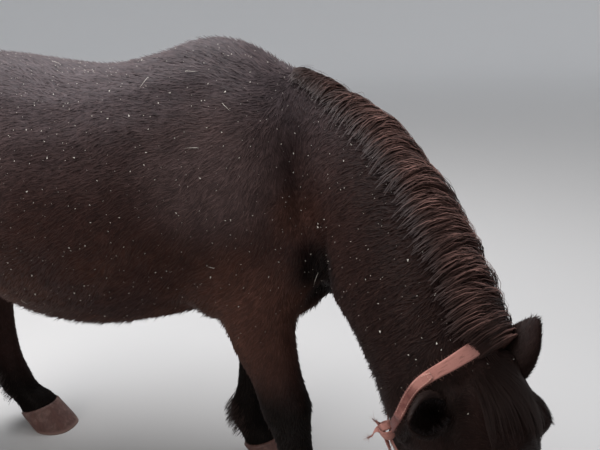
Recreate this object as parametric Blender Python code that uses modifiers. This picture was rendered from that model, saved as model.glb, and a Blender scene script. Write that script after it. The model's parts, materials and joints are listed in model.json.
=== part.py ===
"""A life-size Shetland pony mare, one metre tall at the withers, grazing with its neck bent to the right.

Units are metres, +Z is up and the pony faces +X, so its left side is +Y.
The flesh is modelled whole, as overlapping lofts and rounded muscles that are fused and smoothed, and
is then parted with thin cuts into head, neck, torso and legs. Locks of mane, forelock, tail and
fetlock hair are flat tapered strips, fused into the node that they grow from.
"""

import math
import random

import bpy
import bmesh
from mathutils import Matrix, Vector
from mathutils.bvhtree import BVHTree

# Driving dimensions of the animal.
HEAD_LENGTH = 0.45
HOOF_LENGTH = 0.118
HOOF_WIDTH = 0.106
EAR_LENGTH = 0.105
EYE_RADIUS = 0.0195

# Gaps and mesh sizes.
GAP = 0.0003
SKIN_VOXEL = 0.0045
RING_POINTS = 20

FORWARD = Vector((1, 0, 0))
LEFT = Vector((0, 1, 0))
UP = Vector((0, 0, 1))
RIGHT_SIDE = -1
LEFT_SIDE = 1

# The head's own frame: the poll is its origin, FACE_DOWN runs from poll to muzzle.
POLL = Vector((0.688, -0.270, 0.514))
FACE_DOWN = Vector((0.245, 0.085, -0.97)).normalized()
FACE_FRONT_GUESS = Vector((0.72, -0.68, 0.05))
FACE_LEFT = FACE_FRONT_GUESS.cross(FACE_DOWN).normalized()
FACE_FRONT = FACE_DOWN.cross(FACE_LEFT).normalized()


def clear_scene():
    """Remove what the startup file holds."""
    for thing in list(bpy.data.objects):
        bpy.data.objects.remove(thing, do_unlink=True)


def new_collection(name):
    """A collection linked under the scene."""
    collection = bpy.data.collections.new(name)
    bpy.context.scene.collection.children.link(collection)
    return collection


clear_scene()
PONY = new_collection("shetland_pony")
TOOLS = new_collection("cutters")


def material(name, colour, roughness, metallic=0.0):
    """A plain Principled material of one finish."""
    made = bpy.data.materials.new(name)
    made.use_nodes = True
    shader = made.node_tree.nodes["Principled BSDF"]
    shader.inputs["Base Color"].default_value = (*colour, 1.0)
    shader.inputs["Roughness"].default_value = roughness
    shader.inputs["Metallic"].default_value = metallic
    return made


COAT = material("dark_bay_coat", (0.030, 0.017, 0.013), 0.75)
LEG_COAT = material("black_leg_coat", (0.012, 0.009, 0.008), 0.75)
LONG_HAIR = material("mane_and_tail_hair", (0.014, 0.010, 0.009), 0.6)
HORN = material("hoof_horn", (0.16, 0.09, 0.075), 0.7)
EYE = material("eye", (0.012, 0.008, 0.006), 0.08)
WEBBING = material("faded_webbing", (0.60, 0.24, 0.17), 0.9)


def object_from(bm, name, collection=TOOLS):
    """Turn a bmesh into a named object."""
    mesh = bpy.data.meshes.new(name)
    bm.to_mesh(mesh)
    bm.free()
    made = bpy.data.objects.new(name, mesh)
    collection.objects.link(made)
    made.hide_render = collection is TOOLS
    made.display_type = "WIRE" if collection is TOOLS else "TEXTURED"
    return made


def discard(*objects):
    """Delete helper objects."""
    for thing in objects:
        bpy.data.objects.remove(thing, do_unlink=True)


def applied(thing):
    """Replace an object's mesh with what its modifiers make of it."""
    graph = bpy.context.evaluated_depsgraph_get()
    mesh = bpy.data.meshes.new_from_object(thing.evaluated_get(graph))
    thing.modifiers.clear()
    thing.data = mesh
    return thing


def copy_of(thing, name):
    """A separate object with its own copy of the mesh."""
    twin = thing.copy()
    twin.data = thing.data.copy()
    twin.name = name
    TOOLS.objects.link(twin)
    twin.hide_render = True
    return twin


def boolean(target, others, operation, solver="MANIFOLD"):
    """Join or cut target with a list of closed mesh objects, then remove them."""
    group = bpy.data.collections.new("operands")
    for other in others:
        group.objects.link(other)
    step = target.modifiers.new("boolean", "BOOLEAN")
    step.operation = operation
    step.operand_type = "COLLECTION"
    step.collection = group
    step.solver = solver
    applied(target)
    discard(*others)
    bpy.data.collections.remove(group)
    return target


def largest_piece(thing):
    """Keep only the largest closed surface of a mesh."""
    bm = bmesh.new()
    bm.from_mesh(thing.data)
    seen = set()
    islands = []
    for face in bm.faces:
        if face.index in seen:
            continue
        island, stack = [], [face]
        seen.add(face.index)
        while stack:
            here = stack.pop()
            island.append(here)
            for edge in here.edges:
                for beside in edge.link_faces:
                    if beside.index not in seen:
                        seen.add(beside.index)
                        stack.append(beside)
        islands.append(island)
    keep = max(islands, key=lambda island: sum(face.calc_area() for face in island))
    kept = set(keep)
    bmesh.ops.delete(bm, geom=[face for face in bm.faces if face not in kept], context="FACES")
    bm.to_mesh(thing.data)
    bm.free()
    return thing


def between(a, b, share):
    """Mix two numbers or vectors."""
    return a + (b - a) * share


def through(points, steps):
    """A smooth Catmull-Rom run of tuples or numbers through the given stations."""
    run = []
    last = len(points) - 1
    for i in range(last):
        before, start = points[max(i - 1, 0)], points[i]
        end, after = points[i + 1], points[min(i + 2, last)]
        for k in range(steps):
            t = k / steps
            run.append(tuple(
                0.5 * (2 * s + (e - b) * t + (2 * b - 5 * s + 4 * e - a) * t ** 2
                       + (3 * s - b - 3 * e + a) * t ** 3)
                for b, s, e, a in zip(before, start, end, after)
            ))
    run.append(tuple(points[last]))
    return run


def signed_power(value, power):
    """Raise the size of a number to a power and keep its sign."""
    return math.copysign(abs(value) ** power, value)


def ring(centre, side, rise, half, up, down, power=1.0, count=RING_POINTS):
    """One rounded cross-section: half wide to each side, up and down from its widest line."""
    points = []
    for k in range(count):
        angle = 2 * math.pi * k / count
        across = signed_power(math.cos(angle), power) * half
        tall = signed_power(math.sin(angle), power)
        tall *= up if tall > 0 else down
        points.append(centre + side * across + rise * tall)
    return points


def loft(rings, name, collection=TOOLS):
    """A closed body through rings that all have the same number of points."""
    bm = bmesh.new()
    loops = [[bm.verts.new(point) for point in points] for points in rings]
    count = len(loops[0])
    for one, two in zip(loops, loops[1:]):
        for k in range(count):
            bm.faces.new((one[k], one[(k + 1) % count], two[(k + 1) % count], two[k]))
    for points in (loops[0], loops[-1]):
        centre = bm.verts.new(sum((v.co for v in points), Vector()) / count)
        for k in range(count):
            bm.faces.new((points[k], points[(k + 1) % count], centre))
    bmesh.ops.recalc_face_normals(bm, faces=bm.faces)
    return object_from(bm, name, collection)


def ball(centre, axes, sizes, name="muscle"):
    """A rounded muscle or bone lump: an ellipsoid along three unit axes."""
    bm = bmesh.new()
    turn = Matrix((axes[0] * sizes[0], axes[1] * sizes[1], axes[2] * sizes[2])).transposed().to_4x4()
    bmesh.ops.create_uvsphere(bm, u_segments=20, v_segments=12, radius=1.0)
    bmesh.ops.transform(bm, matrix=Matrix.Translation(centre) @ turn, verts=bm.verts)
    bmesh.ops.recalc_face_normals(bm, faces=bm.faces)
    return object_from(bm, name)


def leaning_axes(direction):
    """Unit axes with the first along a direction, for a muscle that lies aslant."""
    first = Vector(direction).normalized()
    second = UP.cross(first).normalized() if abs(first.z) < 0.99 else LEFT
    return first, second, first.cross(second)


# Torso stations: x, top, bottom, half width, height of the widest line, squareness of the section.
TORSO = (
    (-0.590, 0.790, 0.690, 0.070, 0.740, 0.90),
    (-0.570, 0.855, 0.640, 0.130, 0.750, 0.90),
    (-0.520, 0.935, 0.595, 0.195, 0.750, 0.88),
    (-0.430, 0.985, 0.545, 0.232, 0.740, 0.86),
    (-0.320, 0.990, 0.490, 0.248, 0.700, 0.88),
    (-0.190, 0.972, 0.438, 0.262, 0.670, 0.92),
    (-0.050, 0.956, 0.430, 0.268, 0.660, 0.94),
    (0.070, 0.972, 0.450, 0.254, 0.675, 0.98),
    (0.160, 0.996, 0.470, 0.226, 0.690, 1.06),
    (0.240, 0.988, 0.480, 0.200, 0.700, 1.10),
    (0.330, 0.930, 0.492, 0.178, 0.680, 1.05),
    (0.395, 0.830, 0.525, 0.140, 0.650, 1.00),
    (0.420, 0.700, 0.590, 0.075, 0.645, 1.00),
)


def torso_flesh():
    """Barrel, loin, croup, withers and chest, with the muscles that shape them."""
    rings = []
    for x, top, bottom, half, widest, power in through(TORSO, 4):
        centre = Vector((x, 0, widest))
        rings.append(ring(centre, LEFT, UP, half, top - widest, widest - bottom, power))
    pieces = [loft(rings, "barrel")]
    for side in (RIGHT_SIDE, LEFT_SIDE):
        shoulder = leaning_axes((-0.36, 0, 0.93))
        pieces += [
            ball(Vector((0.268, side * 0.090, 0.735)), shoulder, (0.205, 0.092, 0.125)),
            ball(Vector((0.352, side * 0.108, 0.620)), leaning_axes((0.3, 0, 0.95)), (0.105, 0.066, 0.075)),
            ball(Vector((0.235, side * 0.122, 0.600)), leaning_axes((0.6, 0, 0.8)), (0.130, 0.070, 0.090)),
            ball(Vector((0.335, side * 0.062, 0.565)), leaning_axes((0.2, 0, 1)), (0.090, 0.062, 0.075)),
            ball(Vector((-0.400, side * 0.118, 0.780)), leaning_axes((0.35, 0, 0.93)), (0.195, 0.122, 0.170)),
            ball(Vector((-0.345, side * 0.158, 0.635)), leaning_axes((0.3, 0, -0.95)), (0.115, 0.066, 0.085)),
            ball(Vector((-0.500, side * 0.104, 0.690)), leaning_axes((-0.25, 0, 0.97)), (0.155, 0.092, 0.105)),
            ball(Vector((-0.300, side * 0.162, 0.896)), leaning_axes((1, 0, 0)), (0.060, 0.045, 0.040)),
        ]
    return pieces


# Neck stations: a point of the crest, the point of the throat line under it, and the half width.
NECK = (
    (0.160, 0.010, 0.935, 0.250, 0.000, 0.540, 0.140),
    (0.290, 0.004, 0.955, 0.360, -0.010, 0.512, 0.145),
    (0.396, -0.006, 0.899, 0.432, -0.045, 0.515, 0.126),
    (0.502, -0.062, 0.820, 0.474, -0.095, 0.494, 0.108),
    (0.574, -0.126, 0.743, 0.508, -0.143, 0.464, 0.098),
    (0.630, -0.184, 0.662, 0.538, -0.192, 0.430, 0.092),
    (0.672, -0.232, 0.578, 0.562, -0.223, 0.392, 0.090),
    (0.692, -0.258, 0.515, 0.577, -0.243, 0.345, 0.086),
)


def neck_frames():
    """Centre, crest direction, left direction, half depth and half width along the neck."""
    run = through(NECK, 4)
    frames = []
    for i, station in enumerate(run):
        crest, throat, half = Vector(station[:3]), Vector(station[3:6]), station[6]
        centre = (crest + throat) / 2
        rise = (crest - throat).normalized()
        ahead, behind = run[min(i + 1, len(run) - 1)], run[max(i - 1, 0)]
        tangent = (Vector(ahead[:3]) + Vector(ahead[3:6]) - Vector(behind[:3]) - Vector(behind[3:6])).normalized()
        left = rise.cross(tangent).normalized()
        frames.append((centre, rise, left, (crest - throat).length / 2, half))
    return frames


def neck_flesh():
    """The neck, deep at its base and narrow along the crest."""
    rings = []
    for centre, rise, left, deep, half in neck_frames():
        low = centre - rise * deep * 0.18
        rings.append(ring(low, left, rise, half, deep * 1.18, deep * 0.82, 1.08))
    return [loft(rings, "neck_loft")]


def on_head(down, left, front):
    """A point given in the head's frame: down the face, to its left, and out of the forehead."""
    return POLL + FACE_DOWN * down + FACE_LEFT * left + FACE_FRONT * front


HEAD_AXES = (FACE_DOWN, FACE_LEFT, FACE_FRONT)

# Head stations, as shares of its length: down the face, forehead line, jaw line, half width, squareness.
HEAD = (
    (-0.045, -0.060, -0.215, 0.080, 1.00),
    (0.000, 0.000, -0.305, 0.145, 0.95),
    (0.080, 0.060, -0.380, 0.186, 0.92),
    (0.190, 0.086, -0.425, 0.216, 0.90),
    (0.310, 0.090, -0.430, 0.224, 0.90),
    (0.420, 0.074, -0.390, 0.200, 0.92),
    (0.530, 0.044, -0.302, 0.158, 0.95),
    (0.660, 0.010, -0.232, 0.130, 0.95),
    (0.790, -0.010, -0.216, 0.122, 0.92),
    (0.900, -0.020, -0.226, 0.130, 0.92),
    (0.965, -0.040, -0.220, 0.116, 0.95),
    (1.000, -0.090, -0.185, 0.065, 1.00),
)


def head_flesh():
    """Skull, jaw and muzzle, with cheeks, brows, nostril flares, lips and chin."""
    rings = []
    for down, front, back, half, power in through(HEAD, 4):
        widest = between(back, front, 0.52)
        centre = on_head(down * HEAD_LENGTH, 0, widest * HEAD_LENGTH)
        rings.append(ring(centre, FACE_LEFT, FACE_FRONT, half * HEAD_LENGTH,
                          (front - widest) * HEAD_LENGTH, (widest - back) * HEAD_LENGTH, power))
    pieces = [loft(rings, "skull")]
    lumps = [
        (0.420, 0.000, -0.042, 0.024, 0.048, 0.030),
        (0.424, 0.000, -0.086, 0.026, 0.036, 0.020),
        (0.396, 0.000, -0.102, 0.028, 0.032, 0.016),
    ]
    for side in (RIGHT_SIDE, LEFT_SIDE):
        lumps += [
            (0.150, side * 0.058, -0.130, 0.090, 0.038, 0.078),
            (0.128, side * 0.078, -0.006, 0.036, 0.022, 0.022),
            (0.215, side * 0.072, -0.050, 0.065, 0.016, 0.013),
            (0.404, side * 0.044, -0.028, 0.028, 0.018, 0.026),
            (0.034, side * 0.052, -0.020, 0.034, 0.024, 0.032),
        ]
    for down, left, front, *sizes in lumps:
        pieces.append(ball(on_head(down, left, front), HEAD_AXES, sizes))
    return pieces


# Leg stations, top to bottom: x, distance out from the middle, z, half length fore and aft, half width.
FORELEG = (
    (0.290, 0.105, 0.660, 0.090, 0.060),
    (0.285, 0.128, 0.545, 0.088, 0.064),
    (0.000, 0.138, 0.465, 0.066, 0.056),
    (0.000, 0.138, 0.385, 0.050, 0.045),
    (0.000, 0.136, 0.315, 0.048, 0.046),
    (0.000, 0.134, 0.255, 0.038, 0.035),
    (0.000, 0.132, 0.185, 0.035, 0.030),
    (0.000, 0.131, 0.122, 0.044, 0.039),
    (0.000, 0.131, 0.086, 0.038, 0.036),
    (0.000, 0.131, 0.055, 0.048, 0.045),
    (0.000, 0.131, 0.030, 0.050, 0.046),
)
# Where each foreleg's lower stations stand along x.
RIGHT_FORE_X = (0.290, 0.285, 0.293, 0.313, 0.328, 0.336, 0.342, 0.348, 0.368, 0.392, 0.412)
LEFT_FORE_X = (0.290, 0.276, 0.238, 0.196, 0.164, 0.150, 0.137, 0.124, 0.136, 0.158, 0.178)

HINDLEG = (
    (-0.420, 0.110, 0.760, 0.130, 0.085),
    (-0.400, 0.132, 0.640, 0.118, 0.076),
    (-0.428, 0.140, 0.550, 0.092, 0.064),
    (-0.492, 0.140, 0.465, 0.062, 0.048),
    (-0.552, 0.138, 0.400, 0.052, 0.042),
    (-0.574, 0.136, 0.345, 0.049, 0.041),
    (-0.570, 0.134, 0.285, 0.040, 0.034),
    (-0.562, 0.132, 0.200, 0.037, 0.031),
    (-0.552, 0.131, 0.128, 0.046, 0.040),
    (-0.524, 0.131, 0.088, 0.039, 0.036),
    (-0.490, 0.131, 0.055, 0.048, 0.045),
    (-0.468, 0.131, 0.030, 0.050, 0.046),
)
RIGHT_HIND_SHIFT = -0.060


def leg_rings(stations):
    """Rings across a leg's path, which is a list of (x, y, z, half length, half width)."""
    run = through(stations, 3)
    rings = []
    for i, (x, y, z, long, wide) in enumerate(run):
        ahead, behind = Vector(run[min(i + 1, len(run) - 1)][:3]), Vector(run[max(i - 1, 0)][:3])
        down = (ahead - behind).normalized()
        front = (FORWARD - down * FORWARD.dot(down)).normalized()
        out = down.cross(front).normalized()
        rings.append(ring(Vector((x, y, z)), out, front, wide, long, long, 0.95))
    return rings


def foreleg_stations(side, forward_places):
    """The foreleg of one side, with its joints at the given places along x."""
    return [(x, side * out, z, long, wide)
            for x, (_, out, z, long, wide) in zip(forward_places, FORELEG)]


def hindleg_stations(side, shift):
    """The hind leg of one side, its foot moved along x by shift."""
    stations = []
    top, bottom = HINDLEG[0][2], HINDLEG[-1][2]
    for x, out, z, long, wide in HINDLEG:
        share = min(1.0, (top - z) / (top - 0.40 - bottom + 0.02))
        stations.append((x + shift * share ** 1.5, side * out, z, long, wide))
    return stations


LEGS = {
    "foreleg_right": foreleg_stations(RIGHT_SIDE, RIGHT_FORE_X),
    "foreleg_left": foreleg_stations(LEFT_SIDE, LEFT_FORE_X),
    "hindleg_right": hindleg_stations(RIGHT_SIDE, RIGHT_HIND_SHIFT),
    "hindleg_left": hindleg_stations(LEFT_SIDE, 0.0),
}


def leg_flesh(name, stations):
    """One leg down into its hoof, with its bony points."""
    pieces = [loft(leg_rings(stations), name + "_loft")]
    if name.startswith("hindleg"):
        hock = Vector(stations[4][:3])
        pieces.append(ball(hock + Vector((-0.036, 0, 0.004)), leaning_axes((0.25, 0, 0.97)), (0.044, 0.022, 0.026)))
        pieces.append(ball(hock + Vector((0.008, 0, 0.062)), leaning_axes((0.62, 0, 0.78)), (0.090, 0.018, 0.020)))
    else:
        knee = Vector(stations[4][:3])
        pieces.append(ball(knee + Vector((0.014, 0, 0.004)), leaning_axes((0, 0, 1)), (0.038, 0.042, 0.037)))
        pieces.append(ball(knee + Vector((-0.036, 0, 0.004)), leaning_axes((0, 0, 1)), (0.026, 0.020, 0.018)))
    return pieces


def fused_flesh():
    """Fuse all flesh into one smooth closed skin."""
    pieces = torso_flesh() + neck_flesh() + head_flesh()
    for name, stations in LEGS.items():
        pieces += leg_flesh(name, stations)
    body = pieces[0]
    with bpy.context.temp_override(active_object=body, selected_editable_objects=pieces, selected_objects=pieces,
                                   object=body):
        bpy.ops.object.join()
    body.name = "flesh"
    remesh = body.modifiers.new("voxels", "REMESH")
    remesh.mode = "VOXEL"
    remesh.voxel_size = SKIN_VOXEL
    applied(body)
    soften = body.vertex_groups.new(name="soften")
    for vertex in body.data.vertices:
        to_poll = (vertex.co - POLL).dot(FACE_DOWN)
        near_head = max(0.0, min(1.0, (0.34 - (vertex.co - on_head(0.16, 0, -0.06)).length) / 0.10))
        low = max(0.0, min(1.0, (0.42 - vertex.co.z) / 0.10)) if vertex.co.x < 0.46 else 0.0
        weight = 1.0 - 0.85 * max(near_head if to_poll > -0.05 else 0.0, low * 0.8)
        soften.add([vertex.index], weight, "REPLACE")
    everywhere = body.modifiers.new("even", "SMOOTH")
    everywhere.factor = 0.5
    everywhere.iterations = 4
    broad = body.modifiers.new("broad", "SMOOTH")
    broad.factor = 0.5
    broad.iterations = 110
    broad.vertex_group = "soften"
    applied(body)
    return body


def open_edges(mesh):
    """How many edges of a mesh don't have exactly two faces."""
    bm = bmesh.new()
    bm.from_mesh(mesh)
    count = sum(1 for edge in bm.edges if len(edge.link_faces) != 2)
    bm.free()
    return count


def tidy_mesh(thing):
    """Weld coincident points and split into triangles, in the first way that leaves the surface closed."""
    splits = (("BEAUTY", "BEAUTY"), ("FIXED", "EAR_CLIP"), ("SHORT_EDGE", "EAR_CLIP"), ("FIXED", "BEAUTY"))
    ways = [(distance, *split) for distance in (2e-5, 1e-6, 0.0, 1e-4) for split in splits]
    for distance, quads, others in ways:
        bm = bmesh.new()
        bm.from_mesh(thing.data)
        if distance:
            bmesh.ops.remove_doubles(bm, verts=bm.verts, dist=distance)
            bmesh.ops.dissolve_degenerate(bm, edges=bm.edges, dist=distance)
        bmesh.ops.triangulate(bm, faces=bm.faces, quad_method=quads, ngon_method=others)
        trial = thing.data.copy()
        bm.to_mesh(trial)
        bm.free()
        if open_edges(trial) == 0:
            thing.data = trial
            return thing
    print("not closed:", thing.name)
    return thing


def slab(point, normal, size=3.0):
    """A big closed box that fills the side of a plane towards which the normal points."""
    normal = Vector(normal).normalized()
    bm = bmesh.new()
    bmesh.ops.create_cube(bm, size=size)
    turn = normal.to_track_quat("Z", "Y").to_matrix().to_4x4()
    place = Matrix.Translation(Vector(point) + normal * size / 2) @ turn
    bmesh.ops.transform(bm, matrix=place, verts=bm.verts)
    return object_from(bm, "slab")


def prism(outline, low, high):
    """A closed block: an outline of (x, z) corners drawn out from y = low to y = high."""
    bm = bmesh.new()
    loops = [[bm.verts.new((x, y, z)) for x, z in outline] for y in (low, high)]
    count = len(outline)
    for k in range(count):
        bm.faces.new((loops[0][k], loops[0][(k + 1) % count], loops[1][(k + 1) % count], loops[1][k]))
    bm.faces.new(loops[0])
    bm.faces.new(list(reversed(loops[1])))
    bmesh.ops.recalc_face_normals(bm, faces=bm.faces)
    return object_from(bm, "prism")


# Where the flesh is parted. Each cut is a point and the way from the trunk towards the part.
HEAD_CUT = (on_head(-0.050, 0, 0), (FACE_DOWN * 0.86 + FACE_FRONT * 0.50).normalized())
NECK_CUT = (Vector((0.345, 0, 0.930)), Vector((0.96, -0.12, 0.22)).normalized())
ELBOW_HEIGHT = 0.492
STIFLE_HEIGHT = 0.530
# Each leg's share of the flesh: back and front at the top, back lower down, inner and outer side.
FORELEG_REGION = (0.150, 0.420, 0.040, 0.050, 0.300)
HINDLEG_REGION = (-0.720, -0.335, -0.720, 0.028, 0.300)
BELLY_CLEARANCE = 0.415
CORONET_TILT = math.radians(17)
CORONET_NORMAL = Vector((-math.sin(CORONET_TILT), 0, math.cos(CORONET_TILT)))

# The share of the flesh's triangles that each part keeps.
DETAIL = {"head": 0.036, "neck": 0.0095, "torso": 0.0056, "leg": 0.0075}


def leg_region(name, reach, spread=0.0):
    """The block that holds a leg; spread grows it by the gap for cutting the trunk."""
    side = LEFT_SIDE if name.endswith("left") else RIGHT_SIDE
    hind = name.startswith("hind")
    back, front, low_back, inner, outer = HINDLEG_REGION if hind else FORELEG_REGION
    top = STIFLE_HEIGHT if hind else ELBOW_HEIGHT
    low, high = sorted((side * (inner - spread), side * (outer + spread)))
    outline = [(back - spread, top + spread), (front + spread, top + spread), (front + spread, -reach),
               (low_back - spread, -reach), (low_back - spread, BELLY_CLEARANCE + spread),
               (back - spread, BELLY_CLEARANCE + spread)]
    return prism(outline, low, high)


def thinned(flesh, kind):
    """A copy of the whole flesh, as coarse as one kind of part needs."""
    twin = copy_of(flesh, "flesh_for_" + kind)
    for trial in range(6):
        twin.data = flesh.data.copy()
        thin = twin.modifiers.new("thin", "DECIMATE")
        thin.ratio = DETAIL[kind] * (1.0 + 0.01 * trial)
        thin.use_collapse_triangulate = True
        applied(twin)
        if open_edges(twin.data) == 0:
            break
    return twin


def rough_cut(flesh, name, cutters):
    """A copy of the flesh held to what all the cutters share."""
    twin = copy_of(flesh, name)
    for cutter in cutters:
        boolean(twin, [cutter], "INTERSECT")
    return tidy_mesh(largest_piece(twin))


def part_flesh(flesh):
    """Part the flesh into head, neck, torso and legs, each with its own mesh density."""
    head_point, head_way = HEAD_CUT
    neck_point, neck_way = NECK_CUT
    half_gap = GAP / 2
    coarse = {kind: thinned(flesh, kind) for kind in DETAIL}
    parts = {}
    parts["head"] = rough_cut(coarse["head"], "head", [slab(head_point + head_way * half_gap, head_way)])
    parts["neck"] = rough_cut(coarse["neck"], "neck", [slab(head_point - head_way * half_gap, -head_way),
                                                       slab(neck_point + neck_way * half_gap, neck_way)])
    torso = rough_cut(coarse["torso"], "torso", [slab(neck_point - neck_way * half_gap, -neck_way)])
    for name in LEGS:
        boolean(torso, [leg_region(name, 0.5, GAP)], "DIFFERENCE")
        parts[name] = rough_cut(coarse["leg"], name, [
            leg_region(name, 0.5), slab(coronet_centre(name) + CORONET_NORMAL * half_gap, CORONET_NORMAL),
            slab(neck_point - neck_way * half_gap, -neck_way)])
    parts["torso"] = tidy_mesh(largest_piece(torso))
    discard(*coarse.values())
    return parts


def coronet_centre(name):
    """Where the hair ends and the hoof begins on one leg."""
    return Vector(LEGS[name][-2][:3])


def swollen(thing, name, distance):
    """A copy of a part grown by a distance along its normals, for cutting what sits on it."""
    twin = copy_of(thing, name)
    for vertex, normal in zip(twin.data.vertices, [v.normal.copy() for v in twin.data.vertices]):
        vertex.co += normal * distance
    return twin


def surface_of(thing):
    """A search tree over a part's surface."""
    graph = bpy.context.evaluated_depsgraph_get()
    return BVHTree.FromObject(thing, graph)


def hoof(name):
    """A hoof: flat sole on the floor, sloping wall, top in the coronet plane."""
    centre = coronet_centre(name)
    top_point = centre - CORONET_NORMAL * GAP / 2
    slope = 0.62
    rings = []
    levels = ((0.0, 0.955), (0.05, 1.0), (0.5, 0.95), (0.93, 0.90), (1.0, 0.875))
    for share, scale in levels:
        points = []
        for k in range(RING_POINTS):
            angle = 2 * math.pi * k / RING_POINTS
            fore, across = math.cos(angle), math.sin(angle)
            long = HOOF_LENGTH / 2 * (1.0 if fore > 0 else 0.90)
            x = signed_power(fore, 0.9) * long * scale
            y = signed_power(across, 0.85) * HOOF_WIDTH / 2 * scale
            top_x = x * 0.96
            top_z = top_point.z + math.tan(CORONET_TILT) * (top_x + centre.x - top_point.x)
            foot_x = x + slope * top_point.z + 0.010
            points.append(Vector((
                centre.x + between(foot_x, top_x, share),
                centre.y + y,
                between(0.0, top_z, share),
            )))
        rings.append(points)
    return loft(rings, "hoof_" + name.replace("leg", ""), PONY)


EYE_DOWN = 0.150
EYE_OUT = 0.0865
EYE_FRONT = -0.016


def eye_place(side):
    """Centre of an eyeball, the way it looks, and the way its upper lid lies."""
    centre = on_head(EYE_DOWN, side * EYE_OUT, EYE_FRONT)
    look = (FACE_LEFT * side + FACE_FRONT * 0.34 + FACE_DOWN * 0.10).normalized()
    brow = (FACE_FRONT * 0.94 - FACE_DOWN * 0.34)
    brow = (brow - look * brow.dot(look)).normalized()
    return centre, look, brow


def sphere(centre, radius, name, collection=TOOLS, segments=14):
    """A round ball."""
    bm = bmesh.new()
    bmesh.ops.create_uvsphere(bm, u_segments=segments, v_segments=segments // 2, radius=radius)
    bmesh.ops.translate(bm, vec=centre, verts=bm.verts)
    bmesh.ops.recalc_face_normals(bm, faces=bm.faces)
    return object_from(bm, name, collection)


def almond(centre, look, brow, half_length, half_height, start, end):
    """A lens-shaped prism that opens the lids."""
    along = look.cross(brow).normalized()
    rings = []
    for depth, scale in ((start, 0.80), (end, 1.30)):
        points = []
        for k in range(20):
            angle = 2 * math.pi * k / 20
            across, tall = math.cos(angle), math.sin(angle)
            taper = (1 - abs(across) ** 2.2) ** 0.5 if abs(across) < 1 else 0.0
            height = math.copysign(half_height * taper, tall) if abs(tall) > 1e-6 else 0.0
            points.append(centre + look * depth + along * across * half_length * scale + brow * height * scale)
        rings.append(points)
    return loft(rings, "lid_opening")


def carve_face(head):
    """Lids round each eye, nostrils, and the line of the mouth."""
    lids = []
    for side in (RIGHT_SIDE, LEFT_SIDE):
        centre, look, brow = eye_place(side)
        along = look.cross(brow).normalized()
        lids.append(ball(centre - look * 0.001, (along, brow, look), (EYE_RADIUS + 0.006, EYE_RADIUS + 0.0035,
                                                                     EYE_RADIUS + 0.0030), "lids"))
    boolean(head, lids, "UNION")
    cutters = []
    for side in (RIGHT_SIDE, LEFT_SIDE):
        centre, look, brow = eye_place(side)
        cutters.append(sphere(centre, EYE_RADIUS + GAP, "socket"))
        cutters.append(almond(centre, look, brow, 0.0165, 0.0105, 0.008, 0.045))
        nostril = on_head(0.412, side * 0.046, -0.006)
        slant = (FACE_DOWN * 0.75 - FACE_FRONT * 0.45 - FACE_LEFT * side * 0.25).normalized()
        inward = (FACE_LEFT * side * 0.8 + FACE_FRONT * 0.55 + FACE_DOWN * 0.25).normalized()
        inward = (inward - slant * inward.dot(slant)).normalized()
        cutters.append(ball(nostril + inward * 0.010, (slant, slant.cross(inward), inward), (0.016, 0.0075, 0.022)))
    for cutter in cutters:
        boolean(head, [cutter], "DIFFERENCE")
    boolean(head, [mouth_blade()], "DIFFERENCE")
    return largest_piece(head)


MOUTH_WIDTH = 0.0024


def mouth_blade():
    """A thin bow in the plane of the lips that cuts the line of the mouth from corner to corner."""
    angles = [math.radians(-112 + 224 * k / 20) for k in range(21)]
    outer = [(0.378 + 0.095 * math.cos(angle), 0.080 * math.sin(angle)) for angle in angles]
    inner = [(0.378 + 0.058 * math.cos(angle), 0.043 * math.sin(angle)) for angle in angles]
    rings = []
    for (down, left), (deep_down, deep_left) in zip(outer, inner):
        rings.append([on_head(d, l, -0.068 + rise - 0.12 * (0.46 - d)) for d, l, rise in (
            (down, left, -MOUTH_WIDTH / 2), (down, left, MOUTH_WIDTH / 2),
            (deep_down, deep_left, MOUTH_WIDTH / 2), (deep_down, deep_left, -MOUTH_WIDTH / 2))])
    return loft(rings, "mouth_blade")


# Each ear: base in the head's frame, way to the tip, way of its opening.
EARS = {
    "ear_right": (on_head(0.047, -0.060, -0.024), Vector((-0.45, -0.80, 0.20)), Vector((0.50, -0.40, 0.20))),
    "ear_left": (on_head(0.054, 0.066, -0.030), Vector((0.30, 0.02, 0.95)), Vector((0.55, 0.65, -0.20))),
}
# Ear stations: share of its length, half width, half depth.
EAR_SHAPE = ((-0.12, 0.020, 0.018), (0.0, 0.022, 0.020), (0.18, 0.029, 0.021), (0.42, 0.033, 0.018),
             (0.65, 0.029, 0.014), (0.85, 0.017, 0.009), (0.96, 0.008, 0.005), (1.0, 0.003, 0.002))


def ear_body(name, base, tipward, opening, scale, shift, start, end):
    """One closed teardrop along the ear; the hollow of the cup is a smaller one."""
    tipward = tipward.normalized()
    opening = (opening - tipward * opening.dot(tipward)).normalized()
    across = tipward.cross(opening).normalized()
    rings = []
    for share, wide, deep in EAR_SHAPE:
        if share < start - 1e-6 or share > end + 1e-6:
            continue
        bend = opening * 0.010 * max(share, 0.0) ** 2
        centre = base + tipward * share * EAR_LENGTH + bend + opening * shift * deep
        rings.append(ring(centre, across, opening, wide * scale, deep * scale, deep * scale, 1.0, 14))
    return loft(rings, name)


def ear(name, base, tipward, opening, rooms):
    """A cupped ear whose foot is cut to sit on the head and against the crown strap."""
    made = ear_body(name, base, tipward, opening, 1.0, 0.0, -0.12, 1.0)
    hollow = ear_body("cup", base, tipward, opening, 0.84, 0.62, 0.0, 0.96)
    boolean(made, [hollow], "DIFFERENCE")
    for room in rooms:
        boolean(made, [room], "DIFFERENCE")
    return largest_piece(made)


def cast(tree, origin, direction):
    """Where a ray from inside a part leaves it."""
    hit, normal, _, _ = tree.ray_cast(origin, direction)
    return hit if hit else origin + direction * 0.08


STRAP_WIDTH = 0.026
STRAP_THICKNESS = 0.0026
STRAP_SINK = 0.0010


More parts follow.
